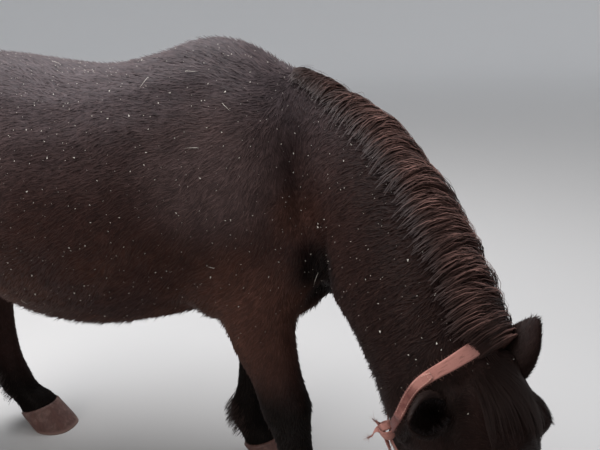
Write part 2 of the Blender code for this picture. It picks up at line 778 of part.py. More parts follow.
def strap(name, tree, samples, closed=False, width=STRAP_WIDTH):
    """A flat strap along (origin, direction, width direction) samples cast out onto the head."""
    rings = []
    for origin, direction, wide in samples:
        points_out, points_in = [], []
        for share in (-0.5, 0.0, 0.5):
            hit = cast(tree, origin + wide * width * share, direction)
            points_out.append(hit + direction * (STRAP_THICKNESS + 0.0008))
            points_in.append(hit - direction * STRAP_SINK)
        rings.append(points_out + list(reversed(points_in)))
    bm = bmesh.new()
    loops = [[bm.verts.new(point) for point in points] for points in rings]
    count = len(loops[0])
    pairs = list(zip(loops, loops[1:]))
    if closed:
        pairs.append((loops[-1], loops[0]))
    for one, two in pairs:
        for k in range(count):
            bm.faces.new((one[k], one[(k + 1) % count], two[(k + 1) % count], two[k]))
    if not closed:
        bm.faces.new(loops[0])
        bm.faces.new(list(reversed(loops[-1])))
    bmesh.ops.recalc_face_normals(bm, faces=bm.faces)
    return object_from(bm, name)


RING_DOWN = 0.128
RING_FRONT = -0.124
RING_LEAN = -0.30
NOSEBAND_DOWN = 0.292
STRAP_TILT = HEAD_CUT[1]
STRAP_FROM_CUT = 0.024
# One side of the crown strap: a point inside the head, down and front, and how far its way out leans forward.
CROWN_SIDE = ((0.000, -0.060, 0.15), (0.040, -0.082, 0.08), (0.080, -0.100, -0.05), (0.112, -0.119, -0.25))
# The crown strap over the poll, as angles from the pony's left.
CROWN_TOP = (150, 120, 90, 60, 30)


def crown_samples():
    """The crown strap from below the right ear, over the poll, to below the left ear."""
    upward = STRAP_TILT.cross(FACE_LEFT).normalized()
    if upward.dot(FACE_FRONT) < 0:
        upward = -upward
    hub = HEAD_CUT[0] + STRAP_TILT * STRAP_FROM_CUT - upward * 0.085
    stations = [(on_head(down, 0, front), -FACE_LEFT + FACE_FRONT * lean) for down, front, lean in reversed(CROWN_SIDE)]
    for degrees in CROWN_TOP:
        angle = math.radians(degrees)
        stations.append((hub, FACE_LEFT * math.cos(angle) + upward * math.sin(angle)))
    stations += [(on_head(down, 0, front), FACE_LEFT + FACE_FRONT * lean) for down, front, lean in CROWN_SIDE]
    run = through([(*origin, *direction.normalized()) for origin, direction in stations], 2)
    ways = [(Vector(row[:3]), Vector(row[3:]).normalized()) for row in run]
    samples = []
    for i, (origin, direction) in enumerate(ways):
        before, after = ways[max(i - 1, 0)], ways[min(i + 1, len(ways) - 1)]
        along = (after[0] + after[1] * 0.09) - (before[0] + before[1] * 0.09)
        samples.append((origin, direction, direction.cross(along).normalized()))
    return samples


def halter(tree):
    """The webbing headcollar: crown strap, throat strap, cheek straps and noseband."""
    made = {"halter_crown": strap("halter_crown", tree, crown_samples())}
    samples = []
    for k in range(15):
        angle = math.pi * k / 14
        direction = FACE_LEFT * -math.cos(angle) + FACE_FRONT * (RING_LEAN - 0.75 * math.sin(angle))
        samples.append((on_head(RING_DOWN - 0.012 * math.sin(angle), 0, RING_FRONT), direction.normalized(), FACE_DOWN))
    made["halter_throat"] = strap("halter_throat", tree, samples, width=0.020)
    for side, label in ((RIGHT_SIDE, "right"), (LEFT_SIDE, "left")):
        ways = []
        for k in range(11):
            share = k / 10
            origin = on_head(between(RING_DOWN + 0.015, NOSEBAND_DOWN - 0.023, share), 0,
                             between(RING_FRONT, -0.052, share ** 1.5))
            ways.append((origin, (FACE_LEFT * side + FACE_FRONT * between(RING_LEAN, 0.0, share)).normalized()))
        samples = []
        for k, (origin, direction) in enumerate(ways):
            run = ways[min(k + 1, 10)][0] - ways[max(k - 1, 0)][0]
            samples.append((origin, direction, direction.cross(run).normalized()))
        made["halter_cheek_" + label] = strap("halter_cheek_" + label, tree, samples, width=0.022)
    samples = []
    for k in range(24):
        angle = 2 * math.pi * k / 24
        direction = (FACE_LEFT * math.cos(angle) + FACE_FRONT * math.sin(angle)).normalized()
        samples.append((on_head(NOSEBAND_DOWN, 0, -0.050), direction, FACE_DOWN))
    made["halter_noseband"] = strap("halter_noseband", tree, samples, closed=True)
    return made


def tail_path():
    """The dock's curve: points and radii."""
    return ((Vector((-0.545, 0, 0.868)), 0.034), (Vector((-0.585, 0, 0.852)), 0.034),
            (Vector((-0.612, 0, 0.808)), 0.030), (Vector((-0.624, 0, 0.740)), 0.025),
            (Vector((-0.627, 0, 0.665)), 0.020), (Vector((-0.627, 0, 0.590)), 0.014))


def tube(points, name, flatten=1.0, count=14):
    """A round bar along (point, radius) stations."""
    run = through([(*point, radius) for point, radius in points], 3)
    rings = []
    for i, station in enumerate(run):
        ahead, behind = Vector(run[min(i + 1, len(run) - 1)][:3]), Vector(run[max(i - 1, 0)][:3])
        way = (ahead - behind).normalized()
        side = LEFT
        rise = way.cross(side).normalized()
        rings.append(ring(Vector(station[:3]), side, rise, station[3], station[3] * flatten,
                          station[3] * flatten, 1.0, count))
    return loft(rings, name)


def mane_station(share):
    """Crest centre, rise, left, half depth and half width at a share of the mane's length."""
    frames = neck_frames()
    where = between(7.0, len(frames) - 4.5, share)
    low = int(where)
    mix = where - low
    one, two = frames[low], frames[min(low + 1, len(frames) - 1)]
    return tuple(between(a, b, mix) for a, b in zip(one, two))


def mane_point(share, fall, lift):
    """A point of the mane: fall is the distance along the far side from the crest, lift the height over it."""
    centre, rise, left, deep, half = mane_station(share)
    rise, left = rise.normalized(), left.normalized()
    low = centre - rise * deep * 0.18
    top = deep * 1.18
    angle = math.radians(98) - fall / (0.35 * top + 0.65 * half)
    angle = max(angle, math.radians(-12))
    across = signed_power(math.cos(angle), 1.08) * half
    tall = signed_power(math.sin(angle), 1.08) * top
    outward = (left * math.cos(angle) / half + rise * math.sin(angle) / top).normalized()
    return low + left * across + rise * tall + outward * lift


def lock(points, outward, width, thickness, name="lock"):
    """A flat lock that tapers to a point: a diamond cross-section carried along its points."""
    bm = bmesh.new()
    last = len(points) - 1
    loops = []
    for i, (point, out) in enumerate(zip(points[:-1], outward[:-1])):
        way = (points[i + 1] - points[max(i - 1, 0)]).normalized()
        side = way.cross(out).normalized()
        flat = side.cross(way).normalized()
        share = i / last
        swell = 0.72 + 0.45 * math.sin(math.pi * min(share * 1.25, 1.0)) - 0.25 * share
        half, thin = width / 2 * swell, thickness / 2 * (1 - 0.55 * share)
        loops.append([bm.verts.new(point + side * half), bm.verts.new(point + flat * thin),
                      bm.verts.new(point - side * half), bm.verts.new(point - flat * thin)])
    tip = bm.verts.new(points[-1])
    for one, two in zip(loops, loops[1:]):
        for k in range(4):
            bm.faces.new((one[k], one[(k + 1) % 4], two[(k + 1) % 4], two[k]))
    for k in range(4):
        bm.faces.new((loops[-1][k], loops[-1][(k + 1) % 4], tip))
    bm.faces.new(loops[0])
    bmesh.ops.recalc_face_normals(bm, faces=bm.faces)
    return object_from(bm, name)


# Mane rows from the skin outwards: number of locks, length, lift at the bulge, width.
MANE_ROWS = ((9, 0.178, 0.009, 0.052), (9, 0.165, 0.018, 0.050), (9, 0.145, 0.027, 0.046))
MANE_DRIFT = 0.055


def mane_locks(random_draw):
    """The mane: rows of flat locks that rise from the crest and fall on the pony's left."""
    made = []
    for row, (count, length, bulge, width) in enumerate(MANE_ROWS):
        for i in range(count):
            share = (i + 0.5 + random_draw.uniform(-0.2, 0.2) + 0.3 * (row % 2)) / (count + 0.4)
            ends = min(1.0, 0.62 + 2.2 * min(share, 1 - share))
            reach = length * ends * random_draw.uniform(0.88, 1.08)
            points, outward = [], []
            for k in range(5):
                t = k / 4
                fall = -0.006 * row + reach * t
                lift = -0.009 if k == 0 else bulge * ends * math.sin(math.pi * (0.16 + 0.74 * t)) + 0.004
                at = share + MANE_DRIFT * t ** 1.5 + random_draw.uniform(-0.004, 0.004)
                at = min(max(at, 0.0), 1.0)
                points.append(mane_point(at, fall, lift))
                outward.append((mane_point(at, fall, 0.05) - mane_point(at, fall, 0.0)).normalized())
            made.append(lock(points, outward, width * random_draw.uniform(0.9, 1.15), 0.0065))
    return made


TAIL_LOCKS = 12
TAIL_TIP_HEIGHT = 0.125


def tail_locks(random_draw):
    """The tail: long locks set all round the dock, hanging nearly to the fetlocks."""
    path = through([(*point, radius) for point, radius in tail_path()], 4)
    made = []
    for i in range(TAIL_LOCKS):
        share = (i + 0.5) / TAIL_LOCKS
        x, y, z, radius = path[min(len(path) - 1, 7 + int(share * (len(path) - 8)))]
        around = math.pi + (i * 2.399) % (2 * math.pi)
        out = Vector((math.cos(around) * 0.8 - 0.25, math.sin(around), 0)).normalized()
        root = Vector((x, y, z))
        tip_height = TAIL_TIP_HEIGHT + 0.16 * (1 - share) * random_draw.random() + 0.03 * random_draw.random()
        spread = 0.040 + 0.016 * random_draw.random()
        points, outward = [], []
        for k in range(6):
            t = k / 5
            height = between(z, tip_height, t)
            swing = radius * 0.35 + spread * math.sin(math.pi * min(0.5, 0.12 + t * 0.7)) * (1 - 0.55 * max(0, t - 0.45))
            point = Vector((root.x - 0.018 * math.sin(math.pi * t * 0.8), root.y, height)) + out * swing
            point += Vector((0.010 * math.sin(5 * t + i), 0.012 * math.sin(4 * t + 2 * i), 0)) * t
            if k == 0:
                point = root + out * radius * 0.3
            points.append(point)
            outward.append(out)
        made.append(lock(points, outward, 0.050 * random_draw.uniform(0.85, 1.2), 0.012))
    return made


FORELOCK_LOCKS = 6


def forelock_locks(tree, random_draw):
    """The forelock: short locks from between the ears, lying down the forehead."""
    made = []
    for i in range(FORELOCK_LOCKS):
        spread = (i / (FORELOCK_LOCKS - 1) - 0.5) * 2
        reach = 0.120 - 0.035 * abs(spread) * random_draw.uniform(0.6, 1.2)
        points, outward = [], []
        for k in range(5):
            t = k / 4
            left = spread * between(0.024, 0.034, t) + 0.010 * t
            hit = cast(tree, on_head(0.006 + reach * t, left, -0.060), FACE_FRONT)
            lift = -0.007 if k == 0 else 0.004 + 0.004 * (i % 2) + 0.003 * math.sin(math.pi * t)
            points.append(hit + FACE_FRONT * lift)
            outward.append(FACE_FRONT)
        made.append(lock(points, outward, 0.019, 0.0050))
    return made


FEATHER_LOCKS = 7


def feather_locks(name, random_draw):
    """The hair behind one fetlock."""
    fetlock = Vector(LEGS[name][-4][:3])
    radius = LEGS[name][-4][4]
    made = []
    for i in range(FEATHER_LOCKS):
        around = math.pi + (i / (FEATHER_LOCKS - 1) - 0.5) * math.radians(150)
        out = Vector((math.cos(around), math.sin(around), 0))
        top = 0.020 * (i % 3) - 0.012
        reach = 0.050 + 0.012 * random_draw.random() - 0.010 * abs(i / (FEATHER_LOCKS - 1) - 0.5)
        root = fetlock + out * radius * 0.70 + UP * top
        points, outward = [], []
        for k in range(5):
            t = k / 4
            flare = radius * 0.42 * math.sin(math.pi * (0.10 + 0.52 * t))
            point = root + out * flare - UP * reach * t + Vector((-0.012, 0, 0)) * t
            if k == 0:
                point = root - out * 0.004
            points.append(point)
            outward.append(out)
        made.append(lock(points, outward, 0.021, 0.0060))
    return made


def finish(thing, name, finish_material):
    """Give a node its name, material and place among the pony's parts."""
    for group in list(thing.users_collection):
        group.objects.unlink(thing)
    PONY.objects.link(thing)
    thing.name = name
    thing.data.name = name
    thing.data.materials.clear()
    thing.data.materials.append(finish_material)
    for face in thing.data.polygons:
        face.material_index = 0
        face.use_smooth = False
    thing.hide_render = False
    thing.display_type = "TEXTURED"
    return thing


def stand_on_origin(parts):
    """Centre the pony's bounding box over the origin, with its soles on the floor."""
    points = [vertex.co for thing in parts for vertex in thing.data.vertices]
    low = Vector([min(point[k] for point in points) for k in range(3)])
    high = Vector([max(point[k] for point in points) for k in range(3)])
    shift = Vector((-(low.x + high.x) / 2, -(low.y + high.y) / 2, -low.z))
    for thing in parts:
        for vertex in thing.data.vertices:
            vertex.co += shift
    return shift


def main():
    """Build the pony."""
    flesh = fused_flesh()
    parts = part_flesh(flesh)
    discard(flesh)
    head = parts["head"]
    head_tree = surface_of(head)
    head_straps = halter(head_tree)
    draw = random.Random(11)
    forelock = forelock_locks(head_tree, draw)
    carve_face(head)
    boolean(head, forelock, "UNION")
    boolean(head, [slab(HEAD_CUT[0] + HEAD_CUT[1] * GAP / 2, HEAD_CUT[1])], "INTERSECT")
    largest_piece(head)
    nodes = {}
    nodes["head"] = (head, COAT)
    for name, (base, tipward, opening) in EARS.items():
        rooms = [swollen(head, "head_room", 0.0006), swollen(head_straps["halter_crown"], "strap_room", 0.0009)]
        nodes[name] = (ear(name, base, tipward, opening, rooms), COAT)
    for side, label in ((RIGHT_SIDE, "right"), (LEFT_SIDE, "left")):
        centre, _, _ = eye_place(side)
        nodes["eye_" + label] = (sphere(centre, EYE_RADIUS, "eye_" + label), EYE)
    for name, band in head_straps.items():
        boolean(band, [swollen(head, "head_room", 0.0007)], "DIFFERENCE")
        nodes[name] = (largest_piece(band), WEBBING)
    neck = boolean(parts["neck"], mane_locks(draw), "UNION")
    boolean(neck, [slab(HEAD_CUT[0] - HEAD_CUT[1] * GAP / 2, -HEAD_CUT[1])], "INTERSECT")
    boolean(neck, [swollen(parts["torso"], "torso_room", 0.0006)], "DIFFERENCE")
    nodes["neck"] = (largest_piece(neck), COAT)
    nodes["torso"] = (parts["torso"], COAT)
    for name in LEGS:
        boolean(parts[name], feather_locks(name, draw), "UNION")
        nodes[name] = (largest_piece(parts[name]), LEG_COAT)
        nodes["hoof_" + name.replace("leg", "")] = (hoof(name), HORN)
    tail = tube(tail_path(), "tail", 1.0, 10)
    boolean(tail, tail_locks(draw), "UNION")
    boolean(tail, [swollen(parts["torso"], "torso_room", 0.0006)], "DIFFERENCE")
    nodes["tail"] = (largest_piece(tail), LONG_HAIR)
    finished = []
    for name, (thing, look) in nodes.items():
        tidy_mesh(thing)
        finished.append(finish(thing, name, look))
    stand_on_origin(finished)
    for thing in list(TOOLS.objects):
        bpy.data.objects.remove(thing, do_unlink=True)
    bpy.data.collections.remove(TOOLS)


main()
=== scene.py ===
# %% [markdown]
# # A Shetland pony at grass
#
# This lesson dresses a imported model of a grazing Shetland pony. The solids give its size and stance.
# Here one skin goes over the flesh, and the coat, mane, tail, eyes, ears, hooves and headcollar are
# made as they are on the real animal.

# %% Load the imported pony
import json
import math

import bmesh
import bpy
import numpy as np
from mathutils import Matrix, Vector
from mathutils.bvhtree import BVHTree

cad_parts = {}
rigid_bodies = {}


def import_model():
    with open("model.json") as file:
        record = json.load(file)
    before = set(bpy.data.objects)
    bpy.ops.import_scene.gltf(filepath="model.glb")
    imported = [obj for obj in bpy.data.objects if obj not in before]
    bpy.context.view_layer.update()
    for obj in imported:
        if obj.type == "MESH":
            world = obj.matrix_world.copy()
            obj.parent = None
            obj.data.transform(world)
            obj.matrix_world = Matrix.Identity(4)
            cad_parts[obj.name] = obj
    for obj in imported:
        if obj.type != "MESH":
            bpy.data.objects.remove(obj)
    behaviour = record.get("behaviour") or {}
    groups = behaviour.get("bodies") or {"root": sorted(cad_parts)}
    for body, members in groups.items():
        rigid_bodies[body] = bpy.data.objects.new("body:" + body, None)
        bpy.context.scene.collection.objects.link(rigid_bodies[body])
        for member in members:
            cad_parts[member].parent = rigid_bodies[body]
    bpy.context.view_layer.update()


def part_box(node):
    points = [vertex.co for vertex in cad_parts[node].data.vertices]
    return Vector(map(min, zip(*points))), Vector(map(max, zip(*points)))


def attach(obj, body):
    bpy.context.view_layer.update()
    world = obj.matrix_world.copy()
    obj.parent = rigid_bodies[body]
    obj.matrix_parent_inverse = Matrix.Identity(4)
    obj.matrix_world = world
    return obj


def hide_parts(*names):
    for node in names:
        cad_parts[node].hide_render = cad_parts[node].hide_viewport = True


for thing in list(bpy.data.objects):
    bpy.data.objects.remove(thing, do_unlink=True)
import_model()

# %% [markdown]
# ## The pony's own directions
#
# A head that hangs aslant is easier to shape in its own directions: down the face, to its left, and
# out of the forehead. The two eyeballs of the solids fix where it is. Everything else is measured
# from the point on the floor under the middle of the barrel, which PLACE carries into the frame.

# %% Work out the head's frame
UP = Vector((0, 0, 1))
LEFT = Vector((0, 1, 0))
FORWARD = Vector((1, 0, 0))
SIDES = (("right", -1), ("left", 1))
EYE_RADIUS = 0.0195
EYE_DOWN = 0.150
EYE_FRONT = -0.016
HEAD_LENGTH = 0.45
POLL_FROM_PLACE = Vector((0.688, -0.270, 0.514))

eye_centre = {name: sum(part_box("eye_" + name), Vector()) / 2 for name, _ in SIDES}
FACE_DOWN = Vector((0.245, 0.085, -0.97)).normalized()
FACE_LEFT = (eye_centre["left"] - eye_centre["right"]).normalized()
FACE_FRONT = FACE_DOWN.cross(FACE_LEFT).normalized()
POLL = (eye_centre["left"] + eye_centre["right"]) / 2 - FACE_DOWN * EYE_DOWN - FACE_FRONT * EYE_FRONT
PLACE = POLL - POLL_FROM_PLACE
HEAD_AXES = np.array([FACE_DOWN, FACE_LEFT, FACE_FRONT])


def on_head(down, left, front):
    """A point given in the head's frame."""
    return POLL + FACE_DOWN * down + FACE_LEFT * left + FACE_FRONT * front


def head_view(points):
    """Points in the head's frame, as columns down, left and front."""
    return (points - np.array(POLL)) @ HEAD_AXES.T


print("the poll is at", [round(value, 3) for value in POLL])

# %% [markdown]
# ## Camera
#
# The photo was taken standing at the pony's right shoulder, looking slightly down. A camera can be
# set by eye, but then all that is measured in its picture is a little off. So it was fitted to the
# outline of back, neck and legs, which settles its place, its three turns and its focal length.

# %% Camera
CAMERA_PLACE = Vector((0.75, -1.22, 1.03))
CAMERA_YAW, CAMERA_PITCH, CAMERA_ROLL = math.radians(19), math.radians(17), math.radians(-3.5)
FOCAL_LENGTH_SHARE = 700 / 600

ahead = Vector((-math.sin(CAMERA_YAW) * math.cos(CAMERA_PITCH), math.cos(CAMERA_YAW) * math.cos(CAMERA_PITCH),
                -math.sin(CAMERA_PITCH)))
level = Vector((math.cos(CAMERA_YAW), math.sin(CAMERA_YAW), 0))
above = level.cross(ahead)
rightward = level * math.cos(CAMERA_ROLL) + above * math.sin(CAMERA_ROLL)
upward = above * math.cos(CAMERA_ROLL) - level * math.sin(CAMERA_ROLL)
camera = bpy.data.objects.new("camera", bpy.data.cameras.new("camera"))
camera.data.lens = camera.data.sensor_width * FOCAL_LENGTH_SHARE
turn = Matrix((rightward, upward, -ahead)).transposed().to_4x4()
camera.matrix_world = Matrix.Translation(CAMERA_PLACE + PLACE) @ turn
bpy.context.scene.collection.objects.link(camera)
bpy.context.scene.camera = camera
print("camera at", [round(value, 2) for value in camera.matrix_world.translation])

# %% [markdown]
# ## Helpers for meshes
#
# Hair could be a particle system, but then it would be gone from the exported model. So it is made
# of small closed meshes, and one formula on arrays gives the corners of thousands of them at once.
# The map OFBake holds a tiny patch for each hair, at its root's place on an unwrap of the skin, so a
# baked colour stays with the place where the hair grows.

# %% Pieces from arrays
def link(thing):
    """Put an object in the scene."""
    bpy.context.scene.collection.objects.link(thing)
    return thing


def mesh_from(bm, name):
    """A mesh with what a bmesh holds."""
    mesh = bpy.data.meshes.new(name)
    bm.to_mesh(mesh)
    bm.free()
    return mesh


def shade_smooth(mesh):
    """Shade every face of a mesh smooth."""
    mesh.polygons.foreach_set("use_smooth", np.ones(len(mesh.polygons), bool))


def piece_from(name, points, triangles, finish, normals=None, unwrap=None, tip=None, weave=None):
    """A piece that rides on the body, from arrays of points and triangles; weave maps each corner."""
    mesh = bpy.data.meshes.new(name)
    mesh.vertices.add(len(points))
    mesh.vertices.foreach_set("co", np.asarray(points, np.float32).ravel())
    mesh.loops.add(triangles.size)
    mesh.loops.foreach_set("vertex_index", triangles.astype(np.int32).ravel())
    mesh.polygons.add(len(triangles))
    mesh.polygons.foreach_set("loop_start", np.arange(0, triangles.size, 3, dtype=np.int32))
    mesh.update(calc_edges=True)
    if unwrap is not None:
        layer = mesh.uv_layers.new(name="OFBake")
        layer.uv.foreach_set("vector", unwrap[triangles.ravel()].astype(np.float32).ravel())
    if weave is not None:
        layer = mesh.uv_layers.new(name="weave")
        layer.uv.foreach_set("vector", weave.astype(np.float32).ravel())
    if tip is not None:
        values = mesh.attributes.new("tip", "FLOAT", "POINT")
        values.data.foreach_set("value", tip.astype(np.float32))
    shade_smooth(mesh)
    if normals is not None:
        mesh.normals_split_custom_set_from_vertices(normals.astype(np.float32))
    mesh.materials.append(finish)
    made = link(bpy.data.objects.new(name, mesh))
    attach(made, "root")
    print(name, len(triangles), "triangles")
    return made


# %% Lengths, soft steps and ripples
def unit(vectors):
    """Vectors of length one."""
    return vectors / np.maximum(np.linalg.norm(vectors, axis=-1, keepdims=True), 1e-12)


def ease(low, high, value):
    """From 0 at low to 1 at high, with soft ends."""
    t = np.clip((value - low) / (high - low), 0, 1)
    return t * t * (3 - 2 * t)


def ripple(points, length, seed, waves=7):
    """A smooth random value near -1 to 1 that changes over a given length."""
    draw = np.random.default_rng(seed)
    total = np.zeros(points.shape[:-1])
    for _ in range(waves):
        way = unit(draw.normal(size=3)) * 2 * math.pi / length * draw.uniform(0.6, 1.6)
        total += np.sin(points @ way + draw.uniform(0, 2 * math.pi))
    return total / math.sqrt(waves)


# %% Maps
PATCH = 0.003


def spread_map(u, v):
    """Scale two arrays to fill a UV square."""
    fitted = [0.01 + 0.98 * (x - x.min()) / max(x.max() - x.min(), 1e-9) for x in (u, v)]
    return np.stack(fitted, axis=-1)


def unwrap_round(points, start, end, zero):
    """An unwrap of a rounded part: along its axis, and by the angle round it."""
    start, end = np.array(start), np.array(end)
    axis = unit(end - start)
    zero = unit(np.array(zero) - axis * np.dot(zero, axis))
    local = points - start
    return local @ axis, np.arctan2(local @ np.cross(axis, zero), local @ zero)


def tuft_map(place):
    """Each tuft's patch on the unwrap."""
    corners = np.array(((0, 0), (PATCH, 0), (PATCH / 2, PATCH / 4), (PATCH / 2, PATCH)))
    return (place[:, None, :] * (1 - PATCH) + corners).reshape(-1, 2)


def lock_map(place, steps):
    """Each lock's patch on the unwrap, its tip at the far end of the patch."""
    along = np.append(np.repeat(np.arange(steps - 1) / (steps - 1), 3), 1.0) * PATCH
    across = np.append(np.tile((0.0, PATCH, PATCH / 2), steps - 1), PATCH / 2)
    return (place[:, None, :] * (1 - PATCH) + np.stack([across, along], -1)[None]).reshape(-1, 2)


# %% Tufts of the short coat
def tufts(roots, normals, lie, length, width, lift, sink=0.0006):
    """Slender closed spikes of four faces, each lying along the coat with its tip lifted."""
    side = unit(np.cross(normals, lie))
    half = (side.T * width / 2).T
    tips = roots + (lie.T * length * np.cos(lift)).T + (normals.T * length * np.sin(lift)).T
    low = roots - normals * sink
    ridge = roots + (normals.T * width * 0.45).T - lie * 0.001
    points = np.stack([low + half, low - half, ridge, tips], axis=1).reshape(-1, 3)
    start = np.arange(len(roots))[:, None] * 4
    triangles = np.concatenate([start + corners for corners in ((0, 2, 3), (2, 1, 3), (1, 0, 3), (0, 1, 2))])
    leans = (side * 0.45, side * -0.45, side * 0, lie * 0.25)
    soft = unit(np.stack([normals + lean for lean in leans], axis=1))
    tip = np.tile((0.0, 0.0, 0.1, 1.0), len(roots))
    return points, triangles, soft.reshape(-1, 3), tip


def tuft_piece(name, roots, normals, lie, sizes, finish, axis, tip_share=1.0):
    """A piece of tufts; sizes are their lengths, widths and lifts, axis is for unwrap_round."""
    points, triangles, soft, tip = tufts(roots, normals, lie, *sizes)
    unwrap = tuft_map(spread_map(*unwrap_round(roots, *axis)))
    return piece_from(name, points, triangles, finish, soft, unwrap, tip * tip_share)


# %% Locks of the long hair
def locks(paths, outward, width, thickness, blunt=0.25):
    """Closed tapered locks along paths of the same number of points: three-sided, ending in a point."""
    count, steps = paths.shape[:2]
    way = unit(np.gradient(paths, axis=1))
    side = unit(np.cross(way, outward))
    flat = unit(np.cross(side, way))
    share = np.linspace(0, 1, steps)[None, :, None]
    swell = (0.55 + 0.45 * np.sin(np.pi * np.minimum(share * 1.4 + 0.12, 1))) * (1 - share ** 3 * (1 - blunt))
    half = width[:, None, None] / 2 * swell
    thick = thickness[:, None, None] * (1 - 0.6 * share)
    rings = np.stack([paths + side * half, paths - side * half, paths + flat * thick], axis=2)[:, :-1]
    per = (steps - 1) * 3 + 1
    points = np.concatenate([rings.reshape(count, -1, 3), paths[:, -1:]], axis=1).reshape(-1, 3)
    faces = [(1, 0, 2)]
    for step in range(steps - 2):
        low, high = step * 3, step * 3 + 3
        for one, two in ((0, 1), (1, 2), (2, 0)):
            faces += [(low + one, low + two, high + two), (low + one, high + two, high + one)]
    last = (steps - 2) * 3
    faces += [(last + one, last + two, per - 1) for one, two in ((0, 1), (1, 2), (2, 0))]
    triangles = (np.arange(count)[:, None, None] * per + np.array(faces)[None]).reshape(-1, 3)
    tip = np.append(np.repeat(share[0, :-1, 0], 3), 1.0)
    soft = np.concatenate([np.stack([outward + side * 0.5, outward - side * 0.5, outward], 2)[:, :-1]
                           .reshape(count, -1, 3), outward[:, -1:]], axis=1)
    return points, triangles, unit(soft).reshape(-1, 3), np.tile(tip, count)


def lock_piece(name, paths, outward, width, flatness, finish, place=None, tip_share=1.0):
    """A piece of locks; flatness is their thickness over their width, place unwraps their roots."""
    outward = np.broadcast_to(outward, paths.shape)
    points, triangles, soft, tip = locks(paths, outward, width, width * flatness)
    if place is None:
        return piece_from(name, points, triangles, finish, soft)
    tip = tip.reshape(len(paths), -1) * np.broadcast_to(tip_share, len(paths))[:, None]
    unwrap = lock_map(spread_map(*place), paths.shape[1])
    return piece_from(name, points, triangles, finish, soft, unwrap, tip.ravel())


# %% [markdown]
# ## Finishes
#
# Every look here is a small tree of shader nodes. A tree can be wired by hand in the editor, but a
# script can give each sum a name, and then skin, tufts and ears can share one paint.

# %% Node helpers
def node(tree, kind, settings=None, **wires):
    """Add a node, set its properties and its inputs; an underscore stands for a space, i0 for input 0."""
    made = tree.nodes.new("ShaderNode" + kind)
    for name, value in (settings or {}).items():
        setattr(made, name, value)
    for name, value in wires.items():
        by_number = name[0] == "i" and name[1:].isdigit()
        socket = made.inputs[int(name[1:]) if by_number else name.replace("_", " ")]
        if isinstance(value, bpy.types.NodeSocket):
            tree.links.new(value, socket)
        else:
            socket.default_value = value
    return made


def math_node(tree, operation, one, two=0.0):
    """The result of one sum."""
    return node(tree, "Math", {"operation": operation}, i0=one, i1=two).outputs[0]


def times(tree, one, two):
    """A product."""
    return math_node(tree, "MULTIPLY", one, two)


def plus(tree, one, two):
    """A sum."""
    return math_node(tree, "ADD", one, two)


def centred(tree, value, width):
    """A noise value around 0 instead of one half, and so many times as wide."""
    return times(tree, math_node(tree, "SUBTRACT", value, 0.5), width)


def vector_node(tree, operation, one, two=(0, 0, 0)):
    """The result of one sum with vectors: a number for a length or product, else a vector."""
    made = node(tree, "VectorMath", {"operation": operation}, i0=one, i1=two)
    return made.outputs["Value" if operation in ("LENGTH", "DISTANCE", "DOT_PRODUCT") else "Vector"]


def split(tree, vector):
    """The three parts of a vector."""
    return node(tree, "SeparateXYZ", None, Vector=vector).outputs


def stretched(tree, place, scale):
    """A place scaled along each axis, so that a noise on it runs in streaks."""
    return node(tree, "Mapping", None, Vector=place, Scale=scale).outputs[0]


def map_place(tree, name):
    """The place on one of the piece's maps."""
    return node(tree, "UVMap", {"uv_map": name}).outputs[0]


def tip_value(tree):
    """The value "tip" of a piece's points: 0 at a hair's root, 1 at its end; on straps, the painted shade."""
    return node(tree, "Attribute", {"attribute_name": "tip"}).outputs["Fac"]


def each_hair(tree):
    """A random value for each hair, from its patch on the map."""
    patch = vector_node(tree, "SNAP", map_place(tree, "OFBake"), (PATCH, PATCH, PATCH))
    return node(tree, "TexWhiteNoise", {"noise_dimensions": "2D"}, Vector=patch).outputs[0]


def object_place(tree):
    """The point on the pony, in metres."""
    return node(tree, "TexCoord").outputs["Object"]


def mixed(tree, factor, one, two, blend="MIX"):
    """Two colours mixed by a factor."""
    mix = tree.nodes.new("ShaderNodeMix")
    mix.data_type = "RGBA"
    mix.blend_type = blend
    for socket, value in ((mix.inputs[0], factor), (mix.inputs[6], one), (mix.inputs[7], two)):
        if isinstance(value, bpy.types.NodeSocket):
            tree.links.new(value, socket)
        else:
            socket.default_value = value if isinstance(value, float) else (*value, 1)
    return mix.outputs[2]


def ranged(tree, value, low, high, start=0.0, end=1.0):
    """A value eased from one range to another."""
    made = node(tree, "MapRange", {"interpolation_type": "SMOOTHSTEP"}, Value=value)
    for name, number in (("From Min", low), ("From Max", high), ("To Min", start), ("To Max", end)):
        made.inputs[name].default_value = number
    return made.outputs[0]


def noise(tree, place, scale, detail=3.0, roughness=0.55):
    """A noise value at a place."""
    made = node(tree, "TexNoise", None, Vector=place, Scale=scale, Detail=detail, Roughness=roughness)
    return made.outputs[0]


def shaded(tree, colour, share, dark, light):
    """A colour multiplied by a mix of a dark and a light grey."""
    return mixed(tree, 1.0, colour, mixed(tree, share, dark, light), "MULTIPLY")


def mottled(scale, dark, light):
    """A paint that wanders between two colours."""
    return lambda tree: mixed(tree, noise(tree, object_place(tree), scale), dark, light)


def finish_of(name, paint, roughness=0.6, height=None, bump=0.3, reach=0.001, **sockets):
    """A material: paint gives the colour, height the bump, and further sockets are set by name."""
    made = bpy.data.materials.new(name)
    made.use_nodes = True
    tree = made.node_tree
    shader = tree.nodes["Principled BSDF"]
    tree.links.new(paint(tree), shader.inputs["Base Color"])
    shader.inputs["Roughness"].default_value = roughness
    if height:
        raised = node(tree, "Bump", None, Strength=bump, Distance=reach, Height=height(tree))
        tree.links.new(raised.outputs[0], shader.inputs["Normal"])
    for socket, value in sockets.items():
        shader.inputs[socket.replace("_", " ")].default_value = value
    return made
